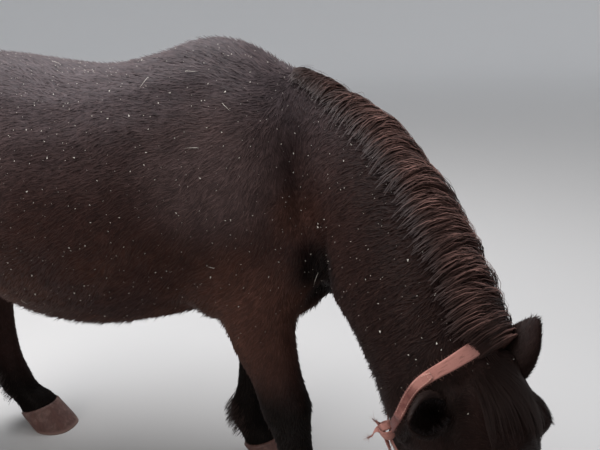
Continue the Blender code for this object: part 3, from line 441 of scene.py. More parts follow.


# %% [markdown]
# ## Floor and light
#
# A studio can be a floor and a wall, but the line where they meet would run through the picture. So
# the floor is a dish whose rim sweeps up into the wall. The light is a broad soft ceiling, because
# the coat is nearly black and only wide reflections show its form. A weaker, warmer panel stands on
# the photographer's side. The dish is painted paler outwards, a painted light where the panels hardly
# reach.

# %% Floor and light
FLOOR_REACH, SWEEP_RADIUS, WALL_TOP = 9.0, 4.0, 9.0
SWEEP_STEPS, FLOOR_SIDES = 12, 96
PALE_FROM, PALE_AT = 2.5, 11.0
NEAR_FLOOR, FAR_FLOOR_PAINTED_LIGHT = (0.46, 0.445, 0.43), (0.90, 0.89, 0.88)
SKY_COLOUR, SKY_STRENGTH = (0.86, 0.90, 0.96, 1), 0.50
# Each panel: its place, the point that it faces, its size, its power in watts and its colour.
PANELS = {
    "sky_panel": ((-0.8, 0.0, 3.7), (0.0, 0.0, 0.6), 3.0, 235, (0.94, 0.96, 1.0)),
    "near_panel": ((-1.3, -3.2, 2.6), (0.2, 0.0, 0.5), 2.0, 38, (1.0, 0.95, 0.91)),
}


def floor_with_painted_light(tree):
    """Painted light: the floor is painted paler towards its far sweep, where the panels hardly reach."""
    apart = vector_node(tree, "LENGTH", object_place(tree))
    return mixed(tree, ranged(tree, apart, PALE_FROM, PALE_AT), NEAR_FLOOR, FAR_FLOOR_PAINTED_LIGHT)


def floor_loop(bm, reach, height):
    """One ring of points of the dish."""
    turns = [2 * math.pi * k / FLOOR_SIDES for k in range(FLOOR_SIDES)]
    return [bm.verts.new((reach * math.cos(turn), reach * math.sin(turn), height)) for turn in turns]


bm = bmesh.new()
middle = bm.verts.new((0, 0, 0))
loops = [floor_loop(bm, FLOOR_REACH / 2, 0)]
for step in range(SWEEP_STEPS + 1):
    turn = math.pi / 2 * step / SWEEP_STEPS
    height = SWEEP_RADIUS * (1 - math.cos(turn))
    loops.append(floor_loop(bm, FLOOR_REACH + SWEEP_RADIUS * math.sin(turn), height))
loops.append(floor_loop(bm, FLOOR_REACH + SWEEP_RADIUS, WALL_TOP))
for k in range(FLOOR_SIDES):
    after = (k + 1) % FLOOR_SIDES
    bm.faces.new((middle, loops[0][k], loops[0][after]))
    for low, high in zip(loops, loops[1:]):
        bm.faces.new((low[k], high[k], high[after], low[after]))
floor = link(bpy.data.objects.new("floor", mesh_from(bm, "floor")))
shade_smooth(floor.data)
floor.data.materials.append(finish_of("pale_floor", floor_with_painted_light, 0.9))

bpy.context.scene.view_settings.view_transform = "Standard"
world = bpy.data.worlds.new("studio")
world.use_nodes = True
background = world.node_tree.nodes["Background"].inputs
background["Color"].default_value = SKY_COLOUR
background["Strength"].default_value = SKY_STRENGTH
bpy.context.scene.world = world
for name, (place, aim, size, power, colour) in PANELS.items():
    lamp = link(bpy.data.objects.new(name, bpy.data.lights.new(name, "AREA")))
    lamp.data.size = size
    lamp.data.energy = power
    lamp.data.color = colour
    lamp.location = Vector(place)
    lamp.rotation_euler = (Vector(aim) - Vector(place)).to_track_quat("-Z", "Y").to_euler()
print("the floor reaches", FLOOR_REACH + SWEEP_RADIUS, "metres, lit by", ", ".join(PANELS))

# %% [markdown]
# ## The markings
#
# The coat is a dark bay that reads nearly black: greyer on the back from dust and a painted sheen of
# the sky, rusty on flank, forearm and throat, and black on the legs. A painted sheen lightens the top
# of the shoulder, and painted shade darkens the crease before each shoulder and the roots of the
# ears. The markings could be painted on a picture, but fur has no room for one. So one function works
# the colour out from the place on the pony. Skin, tufts and ears all use it, so they agree where they
# meet.

# %% The markings
SEAL_BROWN = (0.0340, 0.0165, 0.0140)
# The back's grey is partly dust and partly a painted sheen of the sky.
DUST_AND_SHEEN_BACK = (0.057, 0.045, 0.048)
SHOULDER_SHEEN = (0.092, 0.062, 0.060)
WARM_RUST = (0.078, 0.034, 0.024)
MUZZLE_GREY = (0.034, 0.026, 0.025)
RUSTY_BROWN = (0.049, 0.0205, 0.0138)
LEG_BLACK = (0.0052, 0.0034, 0.0027)
# Painted shade, darker than the legs, in the crease before each shoulder.
FOLD_PAINTED_SHADE = (0.0014, 0.0009, 0.0008)
HEAD_BROWN = (0.0125, 0.0062, 0.0052)
BLEACHED_TIP = (0.105, 0.060, 0.044)
# Painted shade round the roots of the ears.
EAR_SHADE_SPOT = on_head(0.020, -0.085, -0.015) - PLACE
# Spots on both sides: the middle as x, distance out and height, then reach, share and colour. They
# are a painted sheen on the top of the shoulder, two rusty patches, painted shade in the crease
# before the shoulder, and painted shade round the roots of the ears.
SPOTS = (
    ((0.235, 0.190, 0.765), 0.16, 0.70, SHOULDER_SHEEN),
    ((0.290, 0.170, 0.500), 0.17, 0.70, WARM_RUST),
    ((0.372, 0.145, 0.700), 0.055, 0.55, WARM_RUST),
    ((0.410, 0.140, 0.600), 0.070, 0.90, FOLD_PAINTED_SHADE),
    ((0.400, 0.090, 0.535), 0.066, 0.92, FOLD_PAINTED_SHADE),
    (tuple(abs(part) for part in EAR_SHADE_SPOT), 0.085, 0.60, LEG_BLACK),
)
# How much lower the black of the hind legs starts.
HIND_BLACK_DROP = 0.20
# How far the edges of the markings wander, in metres.
MARKING_DRIFT = 0.16


def markings(tree):
    """Coat colour at a place: dust and painted sheen on the back, rusty flank and throat, dark head, black
    legs.
    """
    place = object_place(tree)
    x, _, z = split(tree, place)
    broad = noise(tree, place, 5.0, 4.0)
    drift = centred(tree, broad, MARKING_DRIFT)
    height = plus(tree, z, drift)
    rust = times(tree, ranged(tree, height, 0.76, 0.58), ranged(tree, height, 0.36, 0.48))
    colour = mixed(tree, times(tree, rust, ranged(tree, broad, 0.36, 0.66)), SEAL_BROWN, RUSTY_BROWN)
    # Dust and a painted sheen of the sky grey the back.
    colour = mixed(tree, times(tree, ranged(tree, height, 0.70, 0.97), 0.90), colour, DUST_AND_SHEEN_BACK)
    to_head = ranged(tree, plus(tree, x, drift), 0.31, 0.48)
    colour = mixed(tree, times(tree, to_head, 0.88), colour, HEAD_BROWN)
    hind_drop = ranged(tree, x, PLACE.x - 0.1, PLACE.x - 0.3, 0, HIND_BLACK_DROP)
    black = ranged(tree, plus(tree, height, hind_drop), 0.42, 0.31)
    colour = mixed(tree, times(tree, black, ranged(tree, x, 0.46, 0.44)), colour, LEG_BLACK)
    folded = vector_node(tree, "ABSOLUTE", vector_node(tree, "SUBTRACT", place, (PLACE.x, PLACE.y, 0)))
    for spot, reach, share, paint in SPOTS:
        apart = plus(tree, vector_node(tree, "DISTANCE", folded, spot), times(tree, drift, 0.3))
        colour = mixed(tree, times(tree, ranged(tree, apart, reach, reach * 0.25), share), colour, paint)
    down = vector_node(tree, "DOT_PRODUCT", vector_node(tree, "SUBTRACT", place, POLL), FACE_DOWN)
    down = plus(tree, down, times(tree, drift, 0.25))
    colour = mixed(tree, times(tree, ranged(tree, down, 0.34, 0.42), 0.75), colour, MUZZLE_GREY)
    return shaded(tree, colour, noise(tree, place, 42.0, 3.0), (0.62, 0.62, 0.62), (1.38, 1.36, 1.34))


def coat_paint(tree):
    """The markings on hair: bleached at the tip, and each tuft a little different."""
    colour = markings(tree)
    each = each_hair(tree)
    bleach = times(tree, ranged(tree, tip_value(tree), 0.45, 1.0), times(tree, each, 0.55))
    tipped = mixed(tree, bleach, colour, mixed(tree, 0.5, colour, BLEACHED_TIP))
    return shaded(tree, tipped, each, (0.66, 0.66, 0.66), (1.34, 1.32, 1.30))


def hair_height(tree):
    """Fine relief of flat hair for the skin under the tufts."""
    return noise(tree, object_place(tree), 420.0, 2.0, 0.7)


SKIN = finish_of("bay_skin", markings, 0.70, hair_height, 0.6, 0.002, Specular_IOR_Level=0.05)
COAT = finish_of("bay_coat", coat_paint, 0.50, Sheen_Weight=0.02, Sheen_Roughness=0.4,
                 Sheen_Tint=(0.80, 0.70, 0.74, 1), Specular_IOR_Level=0.09)
print("the markings take", len(COAT.node_tree.nodes), "nodes")

# %% [markdown]
# ## The flesh under the coat
#
# The solids are parted where a maker would part them, but a live animal has one unbroken skin. It
# could be sculpted, but stations that are measured once can be changed one by one. So the flesh is
# lofted whole from the same stations as the solids: rings for barrel, neck, head and legs, rounded
# lumps for muscles and bones. A voxel remesh fuses them, and smoothing lets them flow together.

# %% Rings, lofts and lumps
RING_POINTS = 20
SKIN_VOXEL = 0.0045
SOFTENING_ROUNDS = 110


def between(a, b, share):
    """Mix two numbers or vectors."""
    return a + (b - a) * share


def through(points, steps):
    """A smooth Catmull-Rom run of tuples through the given stations."""
    run = []
    last = len(points) - 1
    for i in range(last):
        before, start = points[max(i - 1, 0)], points[i]
        end, after = points[i + 1], points[min(i + 2, last)]
        for k in range(steps):
            t = k / steps
            run.append(tuple(
                0.5 * (2 * s + (e - b) * t + (2 * b - 5 * s + 4 * e - a) * t ** 2
                       + (3 * s - b - 3 * e + a) * t ** 3)
                for b, s, e, a in zip(before, start, end, after)))
    run.append(tuple(points[last]))
    return run


def signed_power(value, power):
    """Raise the size of a number to a power and keep its sign."""
    return math.copysign(abs(value) ** power, value)


def ring(centre, side, rise, half, up, down, power=1.0):
    """One rounded cross-section: half wide to each side, up and down from its widest line."""
    points = []
    for k in range(RING_POINTS):
        angle = 2 * math.pi * k / RING_POINTS
        tall = signed_power(math.sin(angle), power)
        tall *= up if tall > 0 else down
        points.append(centre + side * signed_power(math.cos(angle), power) * half + rise * tall)
    return points


def add_loft(bm, rings):
    """Add a closed body through rings of points."""
    loops = [[bm.verts.new(point) for point in points] for points in rings]
    count = len(loops[0])
    for one, two in zip(loops, loops[1:]):
        for k in range(count):
            bm.faces.new((one[k], one[(k + 1) % count], two[(k + 1) % count], two[k]))
    for loop in (loops[0], loops[-1]):
        centre = bm.verts.new(sum((v.co for v in loop), Vector()) / count)
        for k in range(count):
            bm.faces.new((loop[k], loop[(k + 1) % count], centre))


def add_ball(bm, centre, axes, sizes):
    """Add a rounded muscle or bone lump along three unit axes."""
    turn = Matrix([axis * size for axis, size in zip(axes, sizes)]).transposed().to_4x4()
    made = bmesh.ops.create_uvsphere(bm, u_segments=20, v_segments=12, radius=1.0)
    bmesh.ops.transform(bm, matrix=Matrix.Translation(centre) @ turn, verts=made["verts"])


def leaning_axes(direction):
    """Unit axes with the first along a direction, for a muscle that lies aslant."""
    first = Vector(direction).normalized()
    second = UP.cross(first).normalized() if abs(first.z) < 0.99 else LEFT
    return first, second, first.cross(second)


# %% Barrel and muscles
# Stations: x, top, bottom, half width, height of the widest line, squareness of the section.
TORSO = (
    (-0.590, 0.790, 0.690, 0.070, 0.740, 0.90),
    (-0.570, 0.855, 0.640, 0.130, 0.750, 0.90),
    (-0.520, 0.935, 0.595, 0.195, 0.750, 0.88),
    (-0.430, 0.985, 0.545, 0.232, 0.740, 0.86),
    (-0.320, 0.990, 0.490, 0.248, 0.700, 0.88),
    (-0.190, 0.972, 0.438, 0.262, 0.670, 0.92),
    (-0.050, 0.956, 0.430, 0.268, 0.660, 0.94),
    (0.070, 0.972, 0.450, 0.254, 0.675, 0.98),
    (0.160, 0.996, 0.470, 0.226, 0.690, 1.06),
    (0.240, 0.988, 0.480, 0.200, 0.700, 1.10),
    (0.330, 0.930, 0.492, 0.178, 0.680, 1.05),
    (0.395, 0.830, 0.525, 0.140, 0.650, 1.00),
    (0.420, 0.700, 0.590, 0.075, 0.645, 1.00),
)
# Muscles of one side: x, distance out, height, the way it leans, its three half sizes.
MUSCLES = (
    ((0.268, 0.090, 0.735), (-0.36, 0, 0.93), (0.205, 0.092, 0.125)),
    ((0.352, 0.108, 0.620), (0.3, 0, 0.95), (0.105, 0.066, 0.075)),
    ((0.235, 0.122, 0.600), (0.6, 0, 0.8), (0.130, 0.070, 0.090)),
    ((0.335, 0.062, 0.565), (0.2, 0, 1), (0.090, 0.062, 0.075)),
    ((-0.400, 0.118, 0.780), (0.35, 0, 0.93), (0.195, 0.122, 0.170)),
    ((-0.345, 0.158, 0.635), (0.3, 0, -0.95), (0.115, 0.066, 0.085)),
    ((-0.500, 0.104, 0.690), (-0.25, 0, 0.97), (0.155, 0.092, 0.105)),
    ((-0.300, 0.162, 0.896), (1, 0, 0), (0.060, 0.045, 0.040)),
)


def add_torso(bm):
    """Barrel, loin, croup, withers and chest."""
    rings = []
    for x, top, bottom, half, widest, power in through(TORSO, 4):
        centre = PLACE + Vector((x, 0, widest))
        rings.append(ring(centre, LEFT, UP, half, top - widest, widest - bottom, power))
    add_loft(bm, rings)
    for _, side in SIDES:
        for (x, out, z), lean, sizes in MUSCLES:
            add_ball(bm, PLACE + Vector((x, side * out, z)), leaning_axes(lean), sizes)


# %% Neck
# Stations: a point of the crest, the point of the throat line under it, and the half width.
NECK = (
    (0.160, 0.010, 0.935, 0.250, 0.000, 0.540, 0.140),
    (0.290, 0.004, 0.955, 0.360, -0.010, 0.512, 0.145),
    (0.396, -0.006, 0.899, 0.432, -0.045, 0.515, 0.126),
    (0.502, -0.062, 0.820, 0.474, -0.095, 0.494, 0.108),
    (0.574, -0.126, 0.743, 0.508, -0.143, 0.464, 0.098),
    (0.630, -0.184, 0.662, 0.538, -0.192, 0.430, 0.092),
    (0.672, -0.232, 0.578, 0.562, -0.223, 0.392, 0.090),
    (0.692, -0.258, 0.515, 0.577, -0.243, 0.345, 0.086),
)


def neck_frames():
    """Centre, crest direction, left direction, half depth and half width along the neck."""
    run = through(NECK, 4)
    frames = []
    for i, station in enumerate(run):
        crest, throat = PLACE + Vector(station[:3]), PLACE + Vector(station[3:6])
        rise = (crest - throat).normalized()
        one, two = run[min(i + 1, len(run) - 1)], run[max(i - 1, 0)]
        tangent = (Vector(one[:3]) + Vector(one[3:6]) - Vector(two[:3]) - Vector(two[3:6])).normalized()
        frames.append(((crest + throat) / 2, rise, rise.cross(tangent).normalized(),
                       (crest - throat).length / 2, station[6]))
    return frames


NECK_FRAMES = neck_frames()


def add_neck(bm):
    """The neck, deep at its base and narrow along the crest."""
    add_loft(bm, [ring(centre - rise * deep * 0.18, left, rise, half, deep * 1.18, deep * 0.82, 1.08)
                  for centre, rise, left, deep, half in NECK_FRAMES])


# %% Head
# Stations, as shares of the head's length: down the face, forehead line, jaw line, half width, squareness.
HEAD = (
    (-0.045, -0.060, -0.215, 0.080, 1.00),
    (0.000, 0.000, -0.305, 0.145, 0.95),
    (0.080, 0.060, -0.380, 0.186, 0.92),
    (0.190, 0.086, -0.425, 0.216, 0.90),
    (0.310, 0.090, -0.430, 0.224, 0.90),
    (0.420, 0.074, -0.390, 0.200, 0.92),
    (0.530, 0.044, -0.302, 0.158, 0.95),
    (0.660, 0.010, -0.232, 0.130, 0.95),
    (0.790, -0.010, -0.216, 0.122, 0.92),
    (0.900, -0.020, -0.226, 0.130, 0.92),
    (0.965, -0.040, -0.220, 0.116, 0.95),
    (1.000, -0.090, -0.185, 0.065, 1.00),
)
# Muzzle, lower lip and chin, then cheek, brow, facial crest, nostril flare and poll muscle of one side.
MIDDLE_LUMPS = (
    (0.420, 0.000, -0.042, 0.024, 0.048, 0.030),
    (0.424, 0.000, -0.086, 0.026, 0.036, 0.020),
    (0.396, 0.000, -0.102, 0.028, 0.032, 0.016),
)
SIDE_LUMPS = (
    (0.150, 0.058, -0.130, 0.090, 0.038, 0.078),
    (0.128, 0.078, -0.006, 0.036, 0.022, 0.022),
    (0.215, 0.072, -0.050, 0.065, 0.016, 0.013),
    (0.404, 0.044, -0.028, 0.028, 0.018, 0.026),
    (0.034, 0.052, -0.020, 0.034, 0.024, 0.032),
)


def add_head(bm):
    """Skull, jaw and muzzle."""
    rings = []
    for down, front, back, half, power in through(HEAD, 4):
        widest = between(back, front, 0.52)
        centre = on_head(down * HEAD_LENGTH, 0, widest * HEAD_LENGTH)
        rings.append(ring(centre, FACE_LEFT, FACE_FRONT, half * HEAD_LENGTH,
                          (front - widest) * HEAD_LENGTH, (widest - back) * HEAD_LENGTH, power))
    add_loft(bm, rings)
    lumps = MIDDLE_LUMPS + tuple((down, side * left, front, *sizes) for _, side in SIDES
                                 for down, left, front, *sizes in SIDE_LUMPS)
    for down, left, front, *sizes in lumps:
        add_ball(bm, on_head(down, left, front), (FACE_DOWN, FACE_LEFT, FACE_FRONT), sizes)


# %% Legs
# Stations, top to bottom: x, distance out from the middle, z, half length fore and aft, half width.
FORELEG = (
    (0.290, 0.105, 0.660, 0.090, 0.060),
    (0.285, 0.128, 0.545, 0.088, 0.064),
    (0.000, 0.138, 0.465, 0.066, 0.056),
    (0.000, 0.138, 0.385, 0.050, 0.045),
    (0.000, 0.136, 0.315, 0.048, 0.046),
    (0.000, 0.134, 0.255, 0.038, 0.035),
    (0.000, 0.132, 0.185, 0.035, 0.030),
    (0.000, 0.131, 0.122, 0.044, 0.039),
    (0.000, 0.131, 0.086, 0.038, 0.036),
    (0.000, 0.131, 0.055, 0.048, 0.045),
    (0.000, 0.131, 0.030, 0.050, 0.046),
)
# Where each foreleg's stations stand along x.
RIGHT_FORE_X = (0.290, 0.285, 0.293, 0.313, 0.328, 0.336, 0.342, 0.348, 0.368, 0.392, 0.412)
LEFT_FORE_X = (0.290, 0.276, 0.238, 0.196, 0.164, 0.150, 0.137, 0.124, 0.136, 0.158, 0.178)
HINDLEG = (
    (-0.420, 0.110, 0.760, 0.130, 0.085),
    (-0.400, 0.132, 0.640, 0.118, 0.076),
    (-0.428, 0.140, 0.550, 0.092, 0.064),
    (-0.492, 0.140, 0.465, 0.062, 0.048),
    (-0.552, 0.138, 0.400, 0.052, 0.042),
    (-0.574, 0.136, 0.345, 0.049, 0.041),
    (-0.570, 0.134, 0.285, 0.040, 0.034),
    (-0.562, 0.132, 0.200, 0.037, 0.031),
    (-0.552, 0.131, 0.128, 0.046, 0.040),
    (-0.524, 0.131, 0.088, 0.039, 0.036),
    (-0.490, 0.131, 0.055, 0.048, 0.045),
    (-0.468, 0.131, 0.030, 0.050, 0.046),
)
RIGHT_HIND_SHIFT = -0.060


def foreleg_stations(side, forward_places):
    """The foreleg of one side, in the frame."""
    return [(x + PLACE.x, side * out + PLACE.y, z, long, wide)
            for x, (_, out, z, long, wide) in zip(forward_places, FORELEG)]


def hindleg_stations(side, shift):
    """The hind leg of one side, its foot moved along x by shift."""
    stations = []
    top, bottom = HINDLEG[0][2], HINDLEG[-1][2]
    for x, out, z, long, wide in HINDLEG:
        share = min(1.0, (top - z) / (top - 0.40 - bottom + 0.02))
        stations.append((x + shift * share ** 1.5 + PLACE.x, side * out + PLACE.y, z, long, wide))
    return stations


LEGS = {
    "foreleg_right": foreleg_stations(-1, RIGHT_FORE_X),
    "foreleg_left": foreleg_stations(1, LEFT_FORE_X),
    "hindleg_right": hindleg_stations(-1, RIGHT_HIND_SHIFT),
    "hindleg_left": hindleg_stations(1, 0.0),
}
CORONET_STATION = -2
FETLOCK_STATION = -4
KNEE_STATION = 4


def add_leg(bm, name, stations):
    """One leg down into its hoof, with its bony points."""
    run = through(stations, 3)
    rings = []
    for i, (x, y, z, long, wide) in enumerate(run):
        one, two = Vector(run[min(i + 1, len(run) - 1)][:3]), Vector(run[max(i - 1, 0)][:3])
        down = (one - two).normalized()
        front = (FORWARD - down * FORWARD.dot(down)).normalized()
        rings.append(ring(Vector((x, y, z)), down.cross(front).normalized(), front, wide, long, long, 0.95))
    add_loft(bm, rings)
    joint = Vector(stations[KNEE_STATION][:3])
    if name.startswith("hindleg"):
        bones = (((-0.036, 0, 0.004), (0.25, 0, 0.97), (0.044, 0.022, 0.026)),
                 ((0.008, 0, 0.062), (0.62, 0, 0.78), (0.090, 0.018, 0.020)))
    else:
        bones = (((0.014, 0, 0.004), (0, 0, 1), (0.038, 0.042, 0.037)),
                 ((-0.036, 0, 0.004), (0, 0, 1), (0.026, 0.020, 0.018)))
    for shift, lean, sizes in bones:
        add_ball(bm, joint + Vector(shift), leaning_axes(lean), sizes)


# %% Fuse the flesh
def applied(thing):
    """Replace an object's mesh with what its modifiers make of it."""
    graph = bpy.context.evaluated_depsgraph_get()
    mesh = bpy.data.meshes.new_from_object(thing.evaluated_get(graph))
    thing.modifiers.clear()
    thing.data = mesh
    return thing


def modify(thing, kind, **settings):
    """Add a modifier with its settings."""
    made = thing.modifiers.new(kind.lower(), kind)
    for name, value in settings.items():
        setattr(made, name, value)
    return made


def points_of(mesh):
    """A mesh's points as an array."""
    points = np.empty(len(mesh.vertices) * 3, np.float32)
    mesh.vertices.foreach_get("co", points)
    return points.reshape(-1, 3).astype(float)


def normals_of(mesh):
    """A mesh's normals at its points."""
    normals = np.empty(len(mesh.vertices) * 3, np.float32)
    mesh.vertex_normals.foreach_get("vector", normals)
    return normals.reshape(-1, 3).astype(float)


def move_points(mesh, points):
    """Give a mesh new places for its points."""
    mesh.vertices.foreach_set("co", points.astype(np.float32).ravel())
    mesh.update()


def paint_group(thing, name, weights):
    """A vertex group from an array of weights, in sixteen steps."""
    group = thing.vertex_groups.new(name=name)
    steps = np.round(weights * 16).astype(int)
    for step in range(1, 17):
        group.add(np.nonzero(steps == step)[0].tolist(), step / 16, "REPLACE")
    return group


def fused_flesh():
    """All flesh in one smooth closed skin."""
    bm = bmesh.new()
    add_torso(bm)
    add_neck(bm)
    add_head(bm)
    for name, stations in LEGS.items():
        add_leg(bm, name, stations)
    bmesh.ops.recalc_face_normals(bm, faces=bm.faces)
    flesh = link(bpy.data.objects.new("skin", mesh_from(bm, "skin")))
    modify(flesh, "REMESH", mode="VOXEL", voxel_size=SKIN_VOXEL)
    applied(flesh)
    points = points_of(flesh.data)
    head = head_view(points)
    near_head = np.clip((0.34 - np.linalg.norm(head - (0.16, 0, -0.06), axis=1)) / 0.10, 0, 1)
    low = np.where(points[:, 0] < 0.46 + PLACE.x, np.clip((0.42 - points[:, 2]) / 0.10, 0, 1), 0)
    held = np.maximum(np.where(head[:, 0] > -0.05, near_head, 0), low * 0.8)
    paint_group(flesh, "soften", 1 - 0.85 * held)
    modify(flesh, "SMOOTH", factor=0.5, iterations=4)
    modify(flesh, "SMOOTH", factor=0.5, iterations=SOFTENING_ROUNDS, vertex_group="soften")
    applied(flesh)
    flesh.vertex_groups.clear()
    return flesh


skin = fused_flesh()
print("the fused skin has", len(skin.data.polygons), "faces")

# %% [markdown]
# ## The face
#
# Lids, nostrils and the line of the mouth need far smaller faces than the barrel does. So only those
# places are divided further, and smooth formulas move their points: a mound round each eye with an
# almond opening, a comma-shaped pit for each nostril, and a groove from one corner of the mouth to
# the other.

# %% Divide the face further
LID_REACH = 0.036
OPENING_LENGTH = 0.0165
OPENING_HEIGHT = 0.0112
MOUTH_FRONT = -0.068


def eye_axes(side):
    """Which way one eye looks, which way its upper lid lies, and along its opening."""
    look = (FACE_LEFT * side + FACE_FRONT * 0.34 + FACE_DOWN * 0.10).normalized()
    brow = FACE_FRONT * 0.94 - FACE_DOWN * 0.34
    brow = (brow - look * brow.dot(look)).normalized()
    return look, brow, look.cross(brow).normalized()


def eye_frame(side):
    """The three axes of one eye as an array: along its opening, towards the brow, and outwards."""
    look, brow, along = eye_axes(side)
    return np.array([along, brow, look])


def eye_view(points, name, side):
    """Points as seen from one eyeball."""
    return (points - np.array(eye_centre[name])) @ eye_frame(side).T


def nostril_axes(side):
    """Long axis, cross axis and inward way of one nostril."""
    slant = (FACE_DOWN * 0.75 - FACE_FRONT * 0.45 - FACE_LEFT * side * 0.25).normalized()
    outward = (FACE_LEFT * side * 0.8 + FACE_FRONT * 0.55 + FACE_DOWN * 0.25).normalized()
    outward = (outward - slant * outward.dot(slant)).normalized()
    return slant, slant.cross(outward), outward


def nostril_view(points, side):
    """Points as seen from one nostril: along it, across it, and outwards."""
    return (points - np.array(on_head(0.412, side * 0.046, -0.006))) @ np.array(nostril_axes(side)).T


def mouth_plane(down):
    """How far forward the line of the mouth lies at a place down the face."""
    return MOUTH_FRONT - 0.12 * (0.46 - down)


def face_nearness(points):
    """Distance of points from the nearest eye opening, nostril or mouth line."""
    head = head_view(points)
    nearest = np.full(len(points), 1.0)
    for name, side in SIDES:
        eye = eye_view(points, name, side)
        from_lids = np.abs(np.linalg.norm(eye[:, :2], axis=1) - 0.010)
        nearest = np.minimum(nearest, from_lids + 0.3 * (eye[:, 2] < 0))
        nearest = np.minimum(nearest, np.linalg.norm(nostril_view(points, side), axis=1) - 0.010)
    mouth = np.hypot(head[:, 2] - mouth_plane(head[:, 0]), np.maximum(0, 0.385 - head[:, 0]))
    return np.minimum(nearest, np.where(np.abs(head[:, 1]) < 0.08, mouth, 1.0))


def divide_near(thing, reach):
    """Divide each face whose points lie within reach of an opening of the face."""
    near = face_nearness(points_of(thing.data)) < reach
    bm = bmesh.new()
    bm.from_mesh(thing.data)
    bm.verts.ensure_lookup_table()
    edges = [edge for edge in bm.edges if near[edge.verts[0].index] and near[edge.verts[1].index]]
    bmesh.ops.subdivide_edges(bm, edges=edges, cuts=1, use_grid_fill=True)
    bm.to_mesh(thing.data)
    bm.free()


divide_near(skin, 0.034)
divide_near(skin, 0.013)
paint_group(skin, "face", ease(0.040, 0.030, face_nearness(points_of(skin.data))))
modify(skin, "SMOOTH", factor=0.5, iterations=4, vertex_group="face")
applied(skin)
print("with a finer face the skin has", len(skin.data.polygons), "faces")


# %% Carve lids, nostrils and mouth
def opening_reach(angle):
    """Distance from the middle of the eye to the edge of the lids at an angle round it."""
    across, tall = np.cos(angle), np.sin(angle)
    height = np.where(tall > 0, OPENING_HEIGHT * 1.05, OPENING_HEIGHT * 0.80)
    corner = 1 - 0.20 * np.abs(across) ** 6
    return 1 / np.hypot(across / OPENING_LENGTH, tall / height) * corner + 0.0016 * np.maximum(across, 0) ** 8


def shape_lids(points, name, side):
    """A soft mound of lid round one eye, creased above, and the opening sunk behind the eyeball."""
    eye = eye_view(points, name, side)
    apart = np.hypot(eye[:, 0], eye[:, 1])
    angle = np.arctan2(eye[:, 1], eye[:, 0])
    edge = opening_reach(angle)
    edge_out = np.sqrt(np.maximum((EYE_RADIUS + 0.0022) ** 2 - edge ** 2, 1e-8))
    outside = (apart - edge) / (LID_REACH - edge)
    mound = edge_out * (1 - ease(0, 1, outside)) + eye[:, 2] * ease(0, 1, outside)
    upper = np.clip(np.sin(angle), 0, 1)
    mound += 0.0022 * upper * np.exp(-((apart - edge - 0.0075) / 0.0030) ** 2)
    mound -= 0.0016 * upper * np.exp(-((apart - edge - 0.0042) / 0.0013) ** 2)
    mound -= 0.0008 * (1 - upper) * np.exp(-((apart - edge - 0.0060) / 0.0016) ** 2)
    inside = np.minimum(eye[:, 2], EYE_RADIUS - 0.006)
    wanted = np.where(apart < edge, inside, mound)
    here = (apart < LID_REACH) & (eye[:, 2] > -0.004) & (eye[:, 2] < 0.040)
    eye[:, 2] = np.where(here, wanted, eye[:, 2])
    moved = np.array(eye_centre[name]) + eye @ eye_frame(side)
    return np.where(here[:, None], moved, points)


def nostril_oval(local):
    """Below 1 inside the comma of a nostril, 1 on its rim."""
    curve = local[:, 1] - 0.004 + local[:, 0] ** 2 / 0.030
    return np.hypot(local[:, 0] / 0.0150, curve / 0.0068)


def shape_nostril(points, side):
    """A comma-shaped pit with a raised rim."""
    local = nostril_view(points, side)
    oval = nostril_oval(local)
    near = (local[:, 2] > -0.020) & (np.abs(local[:, 2]) < 0.03)
    push = -0.015 * ease(1.12, 0.55, oval) + 0.0024 * np.exp(-((oval - 1.45) / 0.30) ** 2)
    return points + np.array(nostril_axes(side)[2]) * np.where(near, push, 0)[:, None]


def shape_mouth(points, normals):
    """A groove between the lips, and lips that swell on both sides of it."""
    head = head_view(points)
    apart = head[:, 2] - mouth_plane(head[:, 0])
    corner = ease(0.376, 0.392, head[:, 0]) * (np.abs(head[:, 1]) < 0.075)
    groove = -0.0046 * np.exp(-(apart / 0.0017) ** 2)
    push = groove + 0.0020 * np.exp(-((np.abs(apart) - 0.0075) / 0.0042) ** 2)
    creases = 0.0006 * np.sin(head[:, 0] * 900) * np.exp(-(apart / 0.016) ** 2) * ease(0.41, 0.39, head[:, 0])
    return points + normals * ((push + creases) * corner)[:, None]


points = points_of(skin.data)
points = shape_mouth(points, normals_of(skin.data))
for name, side in SIDES:
    points = shape_lids(points, name, side)
    points = shape_nostril(points, side)
move_points(skin.data, points)
print("carved the mouth, and an eye opening and a nostril on each side")

# %% [markdown]
# ## Room for the coat
#
# The solids reach to the ends of the hair, so hair set on their surface would make the pony fat. The
# skin is drawn in along its normals by the coat's depth: most on barrel and neck, least on the face.
# Then the broad parts are thinned, because the coat hides them, and the face keeps its small faces.

# %% Where each kind of coat grows
HEAD_PLANE = on_head(-0.050, 0, 0)
HEAD_WAY = (FACE_DOWN * 0.86 + FACE_FRONT * 0.50).normalized()
NECK_PLANE = PLACE + Vector((0.345, 0, 0.930))
NECK_WAY = Vector((0.96, -0.12, 0.22)).normalized()


def regions(points):
    """How much each place belongs to head, neck, legs and barrel; the four add up to one."""
    along = points[:, 0] - PLACE.x
    head = ease(-0.03, 0.03, (points - np.array(HEAD_PLANE)) @ np.array(HEAD_WAY)) * (along > 0.52)
    fore = ease(0.50, 0.42, points[:, 2]) * (along > 0.02) * (along < 0.52)
    hind = ease(0.58, 0.46, points[:, 2]) * (along < -0.30)
    legs = np.maximum(fore, hind) * (1 - head)
    neck = ease(-0.07, 0.09, (points - np.array(NECK_PLANE)) @ np.array(NECK_WAY)) * (1 - head) * (1 - legs)
    return head, neck, legs, 1 - head - neck - legs


